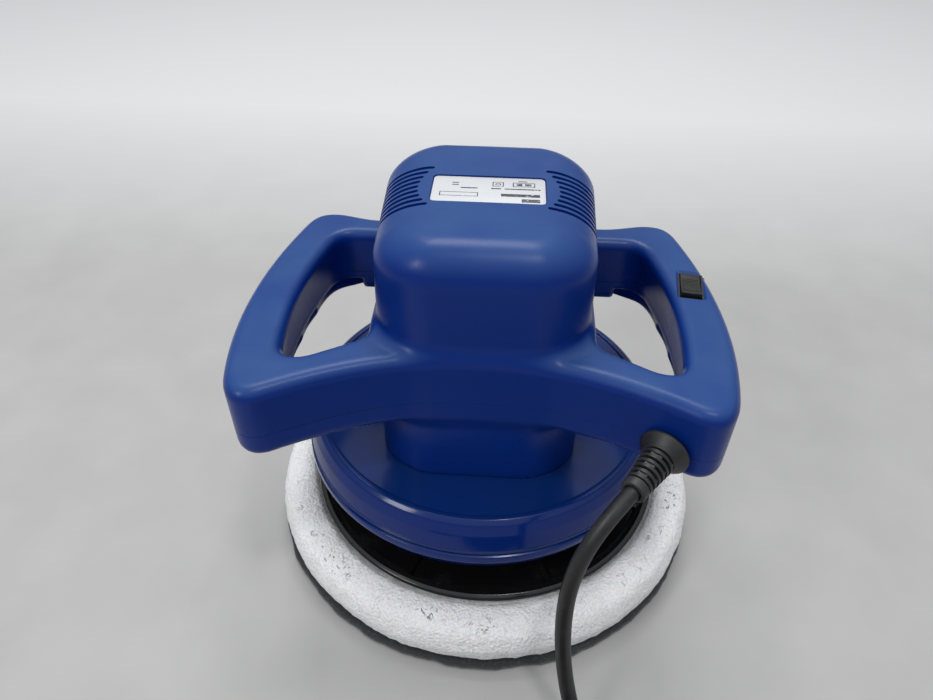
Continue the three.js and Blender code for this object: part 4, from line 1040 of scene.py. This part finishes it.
def screws(name, names, length):
    """Pan-head screws with their heads down, one for each named screw of the frame."""
    recipe = Recipe(name, Head=0.0034, Thickness=0.0022, Shank=0.0016, Length=length,
                    Slit=0.0009, Finish=steel)
    size = recipe.inputs
    head = recipe.cylinder(28, size["Head"], size["Thickness"])
    head = recipe.shifted(head, z=recipe.times(size["Thickness"], 0.5))
    shank = recipe.cylinder(16, size["Shank"], size["Length"])
    up = recipe.plus(size["Thickness"], recipe.times(size["Length"], 0.5))
    shank = recipe.shifted(shank, z=up)
    reach = recipe.times(size["Head"], 1.15)
    depth = recipe.times(size["Thickness"], 1.1)
    bars = [recipe.cube(*pair, depth) for pair in ((reach, size["Slit"]), (size["Slit"], reach))]
    slotted = recipe.add("GeometryNodeMeshBoolean", {"operation": "DIFFERENCE"}, _0=head,
                         Mesh_2=recipe.join(*bars))[0]
    many = recipe.add("GeometryNodeInstanceOnPoints", Points=size["Geometry"],
                      Instance=recipe.join(slotted, shank))[0]
    mesh = recipe.mesh(many, points=head_places(names))
    show(name, mesh, steel, "housing", names)


screws("housing_screw_set", housing_screws, 0.022)
screws("shroud_screw_set", shroud_screws, 0.016)

# %% [markdown]
# ## Backing plate
# The plate is a shallow black dish with a fat rounded rim. It turns on the pad's own axis,
# 3 mm beside the motor's. Eight thin ribs stiffen it, so one rib is built and placed around
# a circle by nodes.

# %% Backing plate
plate_line = rounded([
    (3.5, 24.3, 0), (95.4, 24.3, 1), (97.8, 26.0, 1.6), (97.6, 28.0, 1.4), (95.6, 29.1, 1.4),
    (93.4, 28.4, 1.2), (91.8, 26.7, 1.4), (21, 26.7, 3), (18, 33, 1), (3.5, 33, 0),
])
dish = lathe("dish", plate_line, 192, (PAD_X, 0))


def plate_ribs():
    recipe = Recipe("plate_ribs", Count=8, Inner=0.0185, Outer=0.0925, Thickness=0.0024,
                    Low=0.0255, High=0.0282, Finish=plate_gloss)
    size = recipe.inputs
    bar = recipe.cube(recipe.minus(size["Outer"], size["Inner"]), size["Thickness"],
                      recipe.minus(size["High"], size["Low"]))
    bar = recipe.shifted(bar, x=recipe.times(recipe.plus(size["Outer"], size["Inner"]), 0.5),
                         z=recipe.times(recipe.plus(size["Low"], size["High"]), 0.5))
    share = recipe.over(recipe.plus(recipe.index(), 0.5), size["Count"])
    turn = recipe.vector(z=recipe.times(share, 2 * math.pi))
    mesh = recipe.mesh(recipe.row(size["Count"], bar, recipe.vector(), Rotation=turn))
    return moved(mesh, shift(PAD_X, 0, 0))


show("plate", cut(dish, [plate_ribs()], "UNION"), plate_gloss, "pad",
     ["backing_plate"], sharp=45)

# %% [markdown]
# ## Foam pad
# Foam has no hard edge anywhere. The profile is turned first, then every point is pushed by
# smooth noise: long gentle waves where the foam has settled, and a fine lumpy surface. The
# noise is made of sines in several directions, so it is the same on every run.

# %% Foam pad
def waves(points, size, seed):
    """Smooth noise between -1 and 1 with lumps about size across, from fixed directions."""
    source = np.random.default_rng(seed)
    total = np.zeros(len(points))
    for _ in range(14):
        direction = source.normal(size=3)
        direction /= np.linalg.norm(direction)
        pitch = size * source.uniform(0.7, 1.5)
        total += np.sin(points @ direction * 2 * math.pi / pitch + source.uniform(0, 6.28))
    return total / 5.3


def pushed(mesh, layers):
    """Moves each point along its normal by layers of (size, height, seed), in mm."""
    count = len(mesh.vertices)
    points = np.empty(count * 3)
    normals = np.empty(count * 3)
    mesh.vertices.foreach_get("co", points)
    mesh.vertex_normals.foreach_get("vector", normals)
    points = points.reshape(-1, 3)
    normals = normals.reshape(-1, 3)
    push = sum(height * waves(points / MM, size, seed) for size, height, seed in layers)
    points += normals * push[:, None] * MM
    mesh.vertices.foreach_set("co", points.ravel())
    mesh.update()
    return mesh


def resampled(line, pitch, closed=True):
    """The same line with points about pitch apart."""
    line = np.array(line + line[:1] if closed else line)
    length = np.concatenate([[0], np.cumsum(np.hypot(*np.diff(line, axis=0).T))])
    count = int(length[-1] / pitch)
    at = np.linspace(0, length[-1], count, endpoint=not closed)
    return list(zip(np.interp(at, length, line[:, 0]), np.interp(at, length, line[:, 1])))


foam_line = rounded([
    (14, 4.6, 1), (115.2, 4.6, 1.5), (118.5, 9.0, 5), (119.4, 16.5, 8), (115.8, 25.6, 8),
    (107.5, 27.6, 8), (101.0, 27.2, 3), (98.6, 25.4, 1.2), (98.4, 23.8, 0.6), (14, 23.8, 1),
], steps=8)
foam_mesh = lathe("foam", resampled(foam_line, 1.6), 480, (PAD_X, 0))
foam_mesh = pushed(foam_mesh, [(46, 0.35, 3), (9, 0.22, 5), (3.4, 0.20, 7)])
foam = show("foam", foam_mesh, pad_foam, "pad", ["foam_pad"], sharp=80)

# %% Felt layer
felt_line = rounded([(0.2, 0.2, 0), (119.0, 0.2, 0.8), (120.0, 1.6, 0.8), (119.6, 4.3, 0.6),
                     (0.2, 4.3, 0)])
felt_mesh = lathe("felt", resampled(felt_line, 1.3), 420, (PAD_X, 0))


def ragged(mesh):
    """Draws the felt's edge in and out, and leaves its middle and its height alone."""
    for vertex in mesh.vertices:
        flat = Vector((vertex.co.x - PAD_X * MM, vertex.co.y))
        if flat.length > 0.1:
            point = np.array([[vertex.co.x, vertex.co.y, 0.3 * vertex.co.z]]) / MM
            edge = 0.35 * waves(point, 23, 11)[0] + 0.25 * waves(point, 5, 12)[0]
            grown = flat * (1 + edge * MM / flat.length * (flat.length - 0.1) / 0.017)
            vertex.co.x, vertex.co.y = grown.x + PAD_X * MM, grown.y
    return mesh


show("felt", ragged(felt_mesh), pad_felt, "pad", ["hook_layer"], sharp=60)

# %% [markdown]
# ## Rocker
# The rocker's top is a shallow valley between two raised ends, crossed by fine ridges that
# a thumb can feel. The ridges repeat, so nodes place them along the valley; the body is a
# side view pushed out to the rocker's width and bevelled.

# %% Rocker
ROCKER_HALF = (4.8, 9.6)
ROCKER_TOP = 4.9
ROCKER_DIP = 0.9
rocker_frame = (shift(*SWITCH, 147.5)
                @ Matrix.Rotation(SWITCH_TURN, 4, "Z")
                @ Matrix.Rotation(math.radians(-6), 4, "X"))


def rocker_height(y):
    """The valley's height at a place along the rocker."""
    return ROCKER_TOP - ROCKER_DIP * (1 - (y / ROCKER_HALF[1]) ** 2)


STAND_UP = Matrix(((0, 0, 1, 0), (1, 0, 0, 0), (0, 1, 0, 0), (0, 0, 0, 1)))


def rocker_body():
    side_view = [(-ROCKER_HALF[1] + 1.2, -2.4)]
    side_view += [(y, rocker_height(y)) for y in np.linspace(-ROCKER_HALF[1], ROCKER_HALF[1], 17)]
    side_view.append((ROCKER_HALF[1] - 1.2, -2.4))
    block = prism("rocker_block", side_view, -ROCKER_HALF[0], ROCKER_HALF[0])
    return bevelled(moved(block, STAND_UP), 0.5, angle=40)


def rocker_ridges():
    recipe = Recipe("rocker_ridges", Count=9, Pitch=0.00135, Width=0.0072, Radius=0.00038,
                    Top=ROCKER_TOP * MM, Dip=ROCKER_DIP * MM, Half=ROCKER_HALF[1] * MM,
                    Finish=nylon)
    size = recipe.inputs
    ridge = recipe.add("GeometryNodeTransform", Rotation=recipe.vector(0, math.pi / 2, 0),
                       Geometry=recipe.cylinder(10, size["Radius"], size["Width"]))[0]
    middle = recipe.times(recipe.minus(size["Count"], 1), 0.5)
    y = recipe.times(recipe.minus(recipe.index(), middle), size["Pitch"])
    share = recipe.math("POWER", recipe.math("ABSOLUTE", recipe.over(y, size["Half"])), 2.0)
    fall = recipe.times(size["Dip"], recipe.minus(1.0, share))
    place = recipe.vector(0, y, recipe.minus(size["Top"], fall))
    return recipe.mesh(recipe.row(size["Count"], ridge, place))


rocker_mesh = moved(cut(rocker_body(), [rocker_ridges()], "UNION"), rocker_frame)
show("rocker_key", rocker_mesh, nylon, "switch_rocker", ["rocker"])

# %% [markdown]
# ## Rating label
# The label is a thin card in its pocket. Printed words are left out: rows of plain bars and
# two plain outline marks stand for the print, drawn in the material from Object coordinates.

# %% Label
CARD_WHITE = (0.56, 0.57, 0.58)
CARD_SOILED = (0.54, 0.55, 0.56)


def label_finish():
    finish = Finish("label_print", CARD_WHITE, 0.35)
    x, y, _ = finish.separate()

    def inside(value, low, high):
        return finish.times(finish.math("GREATER_THAN", value, low * MM),
                           finish.math("LESS_THAN", value, high * MM))

    def block(x0, x1, y0, y1):
        return finish.times(inside(x, x0, x1), inside(y, y0, y1))

    def outline(x0, x1, y0, y1, line=0.45):
        return finish.minus(block(x0, x1, y0, y1),
                           block(x0 + line, x1 - line, y0 + line, y1 - line))

    marks = [block(14.5, 22.5, -12.6, -9.6), block(5.5, 22.5, -7.8, -5.2),
             block(7.0, 22.8, -1.2, -0.2), block(1.0, 5.4, -1.2, -0.2),
             block(-12.5, -5.0, -1.2, -0.2), block(-16.5, -13.5, 1.6, 2.4),
             block(-16.5, -13.5, 3.6, 4.4), block(13.0, 17.0, 6.4, 7.2),
             outline(-21.5, -4.5, -8.6, -4.8), outline(10.5, 20.5, 1.6, 5.6, 0.5),
             block(12.2, 14.8, 2.6, 4.6), block(16.0, 18.8, 2.6, 4.6),
             outline(1.5, 6.5, 1.4, 5.8), outline(2.8, 5.2, 2.7, 4.5)]
    ink = marks[0]
    for mark in marks[1:]:
        ink = finish.plus(ink, mark)
    fade = finish.ramp(finish.noise(0.0012, 2), 0.25, 0.4)
    grime = finish.ramp(finish.noise(0.009, 3), 0.45, 0.8)
    card = finish.mix(finish.times(grime, 0.3), CARD_WHITE, CARD_SOILED)
    finish.color(finish.mix(finish.times(ink, fade), card, (0.03, 0.035, 0.05)))
    finish.roughness(finish.ramp(grime, 0, 1, 0.3, 0.5))
    finish.bump(finish.noise(0.004, 2), 0.00003)
    return finish.material


label_card = bevelled(prism("label_card", box_outline(*LABEL_HALF, 2.6, LABEL_MIDDLE),
                            POCKET_FLOOR + 0.05, POCKET_FLOOR + 0.5), 0.12, 2, 60)
show("label", label_card, label_finish(), "housing", ["rating_label"])

# %% [markdown]
# ## Strain relief
# The rubber boot lets the cord bend without kinking. Around a thin core sit ribs that get
# smaller towards the tip, and between two ribs only a pair of small links is left, turned a
# quarter each time. Ribs and links repeat, so nodes place both; the parts are then united.

# %% Strain relief
CORD_RADIUS = 3.6
BOOT_LENGTH = 28.0
RIB_COUNT = 6


def boot_core():
    line = rounded([
        (3.7, -7, 0), (5.5, -7, 0.5), (5.5, 1.7, 0), (11.0, 1.7, 0.3), (11.0, 2.9, 0.8),
        (8.0, 6.2, 2), (7.2, 7.4, 0.6), (5.0, 7.6, 0.5), (4.5, 24.0, 0.4), (5.6, 24.2, 0.3),
        (5.3, BOOT_LENGTH, 0.7), (3.7, BOOT_LENGTH, 0.3),
    ])
    return lathe("boot_core", line, 64)


def boot_repeats(kind):
    recipe = Recipe("boot_" + kind, Count=RIB_COUNT, First=0.0092, Pitch=0.0027, Root=0.0071,
                    Tip=0.0056, Thickness=0.0015, Finish=rubber)
    size = recipe.inputs
    index = recipe.index()
    share = recipe.over(index, recipe.minus(size["Count"], 1.0))
    loss = recipe.minus(1.0, recipe.over(size["Tip"], size["Root"]))
    shrink = recipe.minus(1.0, recipe.times(share, loss))
    z = recipe.plus(size["First"], recipe.times(index, size["Pitch"]))
    turn = 0.0
    if kind == "ribs":
        one = recipe.cylinder(40, size["Root"], size["Thickness"])
    else:
        one = recipe.cube(recipe.times(size["Root"], 1.88), recipe.times(size["Root"], 0.7),
                          size["Pitch"])
        turn = recipe.times(index, math.pi / 2)
        z = recipe.minus(z, recipe.times(size["Pitch"], 0.5))
    return recipe.mesh(recipe.row(size["Count"], one, recipe.vector(0, 0, z),
                                  Rotation=recipe.vector(0, 0, turn),
                                  Scale=recipe.vector(shrink, shrink, 1.0)))


bore = rod(3.7, 5, 30)
ribs = cut(boot_repeats("ribs"), [bore])
links = cut(boot_repeats("links"), [bore])
boot_mesh = moved(cut(boot_core(), [ribs, links], "UNION"), gland_frame)
boot = show("cord_boot", boot_mesh, rubber, "housing", ["strain_relief"])

# %% [markdown]
# ## Cord
# The mains lead is one smooth line: straight out of the boot, down under its own weight,
# along the floor, and then wound into a neat coil of four layers held by a tie, with the
# plug beside it. Each layer winds inwards or outwards by a little over one cord's width a
# turn, and starts with a slow climb onto the layer below, so no turn cuts through another.

# %% Cord route
def smooth_path(points, pitch):
    """Points about pitch apart on a rounded line through the given ones."""
    points = [np.array(p, float) for p in points]
    points = [2 * points[0] - points[1], *points, 2 * points[-1] - points[-2]]
    path = []
    for p0, p1, p2, p3 in zip(points, points[1:], points[2:], points[3:]):
        t0 = 0.0
        t1 = t0 + np.linalg.norm(p1 - p0) ** 0.5
        t2 = t1 + np.linalg.norm(p2 - p1) ** 0.5
        t3 = t2 + np.linalg.norm(p3 - p2) ** 0.5
        steps = max(2, int(np.linalg.norm(p2 - p1) / pitch))
        for t in np.linspace(t1, t2, steps, endpoint=False):
            a1 = (t1 - t) / (t1 - t0) * p0 + (t - t0) / (t1 - t0) * p1
            a2 = (t2 - t) / (t2 - t1) * p1 + (t - t1) / (t2 - t1) * p2
            a3 = (t3 - t) / (t3 - t2) * p2 + (t - t2) / (t3 - t2) * p3
            b1 = (t2 - t) / (t2 - t0) * a1 + (t - t0) / (t2 - t0) * a2
            b2 = (t3 - t) / (t3 - t1) * a2 + (t - t1) / (t3 - t1) * a3
            path.append((t2 - t) / (t2 - t1) * b1 + (t - t1) / (t2 - t1) * b2)
    return path


COIL_MIDDLE = (30.0, -217.0)
COIL_OUTER, COIL_INNER = 48.6, 30.8
COIL_LAYERS = 4
LAYER_RISE = 7.25
COIL_START = math.radians(30)
COIL_TURNS = 10 + 1 / 3
COIL_STEPS = 40
CLIMB = 1 / 3


def coil_path():
    """The wound part of the cord, from its outermost turn on the floor upwards."""
    path = []
    per_layer = COIL_TURNS / COIL_LAYERS
    for step in range(int(COIL_TURNS * COIL_STEPS) + 1):
        turn = step / COIL_STEPS
        layer = min(int(turn / per_layer), COIL_LAYERS - 1)
        within = turn - layer * per_layer
        climb = min(within / CLIMB, 1) if layer else 1
        share = max(within - CLIMB, 0) / (per_layer - CLIMB)
        ends = (COIL_OUTER, COIL_INNER) if layer % 2 == 0 else (COIL_INNER, COIL_OUTER)
        radius = ends[0] + (ends[1] - ends[0]) * min(share, 1)
        height = CORD_RADIUS + LAYER_RISE * (layer - (1 + math.cos(math.pi * climb)) / 2)
        angle = COIL_START - 2 * math.pi * turn
        over_tie = 0.9 * math.exp(-(math.remainder(angle - math.pi / 2, 2 * math.pi) / 0.5) ** 2)
        path.append((COIL_MIDDLE[0] + radius * math.cos(angle),
                     COIL_MIDDLE[1] + radius * math.sin(angle), height + over_tie))
    return path


def boot_point(z):
    """A place on the boot's own axis, in millimetres."""
    return gland_frame @ Vector((0, 0, z * MM)) / MM


def eased(path, first, last, rounds):
    """The same line with its bends from first to last spread out over a longer way."""
    path = np.array(path)
    for _ in range(rounds):
        middle = (path[first - 1:last - 1] + path[first + 1:last + 1]) / 2
        path[first:last] = path[first:last] * 0.5 + middle * 0.5
    return path


lead = [boot_point(22), boot_point(BOOT_LENGTH + 0.3), boot_point(BOOT_LENGTH + 9.3),
        (45.1, -118, 109.8), (39.5, -124.5, 87), (39.6, -129, 63.5), (42.3, -132.5, 40),
        (46.7, -138, 15.5), (50.5, -147, 5.2), (56, -160, 3.75), (64, -176.5, 3.65)]
tail = [(20, -265.6, 25.4), (8, -264.4, 24.6), (-6, -261, 20.5), (-18, -256, 14.4),
        (-26, -253, 11.5), (-33, -252, 11)]
route = eased(smooth_path([*lead, *coil_path(), *tail], 4), 2, 48, 40)

# %% Cord
def cord_object(path):
    data = bpy.data.curves.new("mains_cord", "CURVE")
    data.dimensions = "3D"
    data.bevel_depth = CORD_RADIUS * MM
    data.bevel_resolution = 4
    data.use_fill_caps = True
    line = data.splines.new("POLY")
    line.points.add(len(path) - 1)
    line.points.foreach_set("co", np.concatenate(
        [np.array(path) * MM, np.ones((len(path), 1))], 1).ravel())
    line.use_smooth = True
    data.materials.append(cord_sheath)
    made = placed("mains_cord", data)
    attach(made, "housing")
    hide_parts("cord_lead", "cord_coil", "cord_tail")
    return made


cord = cord_object(route)

# %% [markdown]
# ## Tie and plug
# A nylon tie holds the coil, with a small locking head on its outer side. The plug is a
# rounded moulding with grip ribs towards the cord; its three brass pins are frame pieces
# whose shape is already right, so they only get their metal.

# %% Tie
def tie_mesh():
    half_width = (COIL_OUTER - COIL_INNER) / 2 + CORD_RADIUS + 0.3
    top = CORD_RADIUS * 2 + LAYER_RISE * 3 + 1.7

    def ring(half, low, high, radius):
        return rounded([(-half, low, radius), (half, low, radius),
                        (half, high, radius), (-half, high, radius)])

    outer = prism("tie_band", ring(half_width + 1.2, 0.1, top + 1.2, 5), -2.4, 2.4)
    room = prism("tie_room", ring(half_width, 0.9, top, 4), -5, 5)
    head = bevelled(prism("tie_head", box_outline(2.6, 3.4, 0.6, (half_width + 2.0, top * 0.6)),
                          -3.6, 3.6), 0.5, 2)
    both = moved(cut(cut(outer, [room]), [head], "UNION"), STAND_UP)
    middle = COIL_MIDDLE[1] + (COIL_OUTER + COIL_INNER) / 2
    return moved(both, shift(COIL_MIDDLE[0], middle, 0))


show("cord_tie_band", tie_mesh(), tie_nylon, "housing", ["cord_tie"])

# %% Plug
PLUG = (-68.0, -252.0)
PLUG_MIDDLE_Z = 11.0


def plug_mesh():
    outline = rounded([(31, -12, 5), (19, -21, 6), (0, -23, 14), (-21, -19, 12), (-26, 0, 16),
                       (-21, 19, 12), (0, 23, 14), (19, 21, 6), (31, 12, 5)], steps=6)
    outline = [(PLUG[0] + x, PLUG[1] + y) for x, y in outline]
    body = bevelled(prism("plug", outline, 0.1, 21.8), 3.2, 5, 40)
    sleeve_line = rounded([(0, -6, 0), (7.5, -6, 0), (7.2, 1, 0.6), (5.0, 6, 1), (0, 6, 0)])
    sleeve = lathe("sleeve", sleeve_line, 40, ends_on_axis=True)
    sleeve = moved(sleeve, shift(PLUG[0] + 31, PLUG[1], PLUG_MIDDLE_Z)
                   @ Matrix.Rotation(math.pi / 2, 4, "Y"))
    return cut(body, [sleeve], "UNION")


def plug_ribs(side):
    recipe = Recipe("plug_ribs", Count=6, Pitch=0.0026, Length=0.0012, Width=0.0013,
                    Height=0.015, Finish=nylon)
    size = recipe.inputs
    bar = recipe.cube(size["Length"], size["Width"], size["Height"])
    place = recipe.vector(recipe.times(recipe.index(), size["Pitch"]))
    mesh = recipe.mesh(recipe.row(size["Count"], bar, place))
    middle = shift(PLUG[0] + 4.5, PLUG[1] + side * 21.9, PLUG_MIDDLE_Z)
    return moved(mesh, middle @ Matrix.Rotation(side * -0.08, 4, "Z"))


plug_body = cut(plug_mesh(), [plug_ribs(1), plug_ribs(-1)], "UNION")
plug = show("mains_plug", plug_body, nylon, "housing", ["plug_body"])

# %% [markdown]
# ## Frame pieces that stay
# The motor, its bearings, the drive and the fasteners keep their frame shapes. Each gets
# the finish of its real material, so that nothing is left plain where it shows through the
# slots or from below.

# %% Finishes of frame pieces
frame_finishes = {
    steel: ["motor_shaft", "lower_bearing", "top_bearing", "pad_bearing", "pad_spindle",
            "pad_bolt", "pad_washer", "clamp_screw", *(f"bracket_screw_{i}" for i in range(1, 5))],
    zinc: ["motor_bracket", "eccentric_hub", "counterweight"],
    can_steel: ["motor_can"],
    iron: ["armature_core"],
    copper: ["winding_lower", "winding_upper", "commutator"],
    magnet: ["magnet_right", "magnet_left"],
    carbon: ["brush_right", "brush_left"],
    board_green: ["rectifier_board", "brush_card"],
    capacitor_film: ["capacitor"],
    fan_plastic: ["cooling_fan"],
    nylon: ["switch_body", "cord_clamp"],
    cord_sheath: ["inner_cord"],
    brass: ["plug_pin_earth", "plug_pin_live", "plug_pin_neutral"],
}
for finish, names in frame_finishes.items():
    for name in names:
        nodes[name].data.materials.clear()
        nodes[name].data.materials.append(finish)
print(sum(len(names) for names in frame_finishes.values()), "frame pieces finished")

# %% [markdown]
# ## Floor and light
# The tool stands on a pale grey table in a bright white room. A wide soft light hangs above
# and behind it, as a ceiling would, and weaker ones fill the front.

# %% Floor and lights
def floor_finish():
    finish = Finish("table", (0.40, 0.395, 0.385), 0.5)
    _, y, _ = finish.separate()
    away = finish.ramp(y, 0.22, 0.60)
    mottled = finish.mix(finish.ramp(finish.noise(0.05, 4), 0.3, 0.7), (0.385, 0.38, 0.37),
                         (0.42, 0.415, 0.405))
    finish.color(finish.mix(away, mottled, (0.66, 0.66, 0.66)))
    finish.bump(finish.noise(0.0015, 2), 0.00002)
    return finish.material


FLOOR_REACH, FLOOR_HEIGHT = 6000, -0.3
floor_mesh = mesh_from("floor", [(x, y, FLOOR_HEIGHT) for x, y in box_outline(
    FLOOR_REACH, FLOOR_REACH, 0)], [(0, 1, 2, 3)])
floor_mesh.materials.append(floor_finish())
floor = placed("floor", floor_mesh)


def room_light(overhead, level_view, strength):
    """A pale room that is bright overhead and dimmer at the level of the walls."""
    world = bpy.data.worlds.new("room")
    world.use_nodes = True
    tree = Nodes(world.node_tree)
    background = tree.nodes["Background"].inputs
    background["Color"].default_value = (0.94, 0.96, 1.0, 1)
    facing = tree.add("ShaderNodeTexCoord")["Generated"]
    _, _, up = tree.add("ShaderNodeSeparateXYZ", Vector=facing)
    fade = tree.add("ShaderNodeMapRange", Value=up, From_Max=0.85,
                    To_Min=level_view * strength, To_Max=overhead * strength)
    tree.links.new(fade["Result"], background["Strength"])
    return world


bpy.context.scene.world = room_light(1.0, 0.16, 0.9)
bpy.context.scene.view_settings.view_transform = "Standard"


def lamp(name, place, size, power):
    """A rectangular soft lamp that shines at the middle of the tool."""
    light = bpy.data.lights.new(name, "AREA")
    light.shape = "RECTANGLE"
    light.size, light.size_y = size
    light.energy = power
    made = placed(name, light)
    facing = (Vector((0, 0, 0.1)) - Vector(place)).to_track_quat("-Z", "Y")
    made.matrix_world = Matrix.Translation(place) @ facing.to_matrix().to_4x4()


lamp("ceiling", (-0.1, 0.7, 1.7), (0.9, 0.6), 13)
lamp("lamp_overhead", (0.25, -0.40, 1.6), (0.16, 0.16), 4)
lamp("window_left", (-1.0, -0.9, 1.1), (0.4, 0.4), 6)
print("lights set")
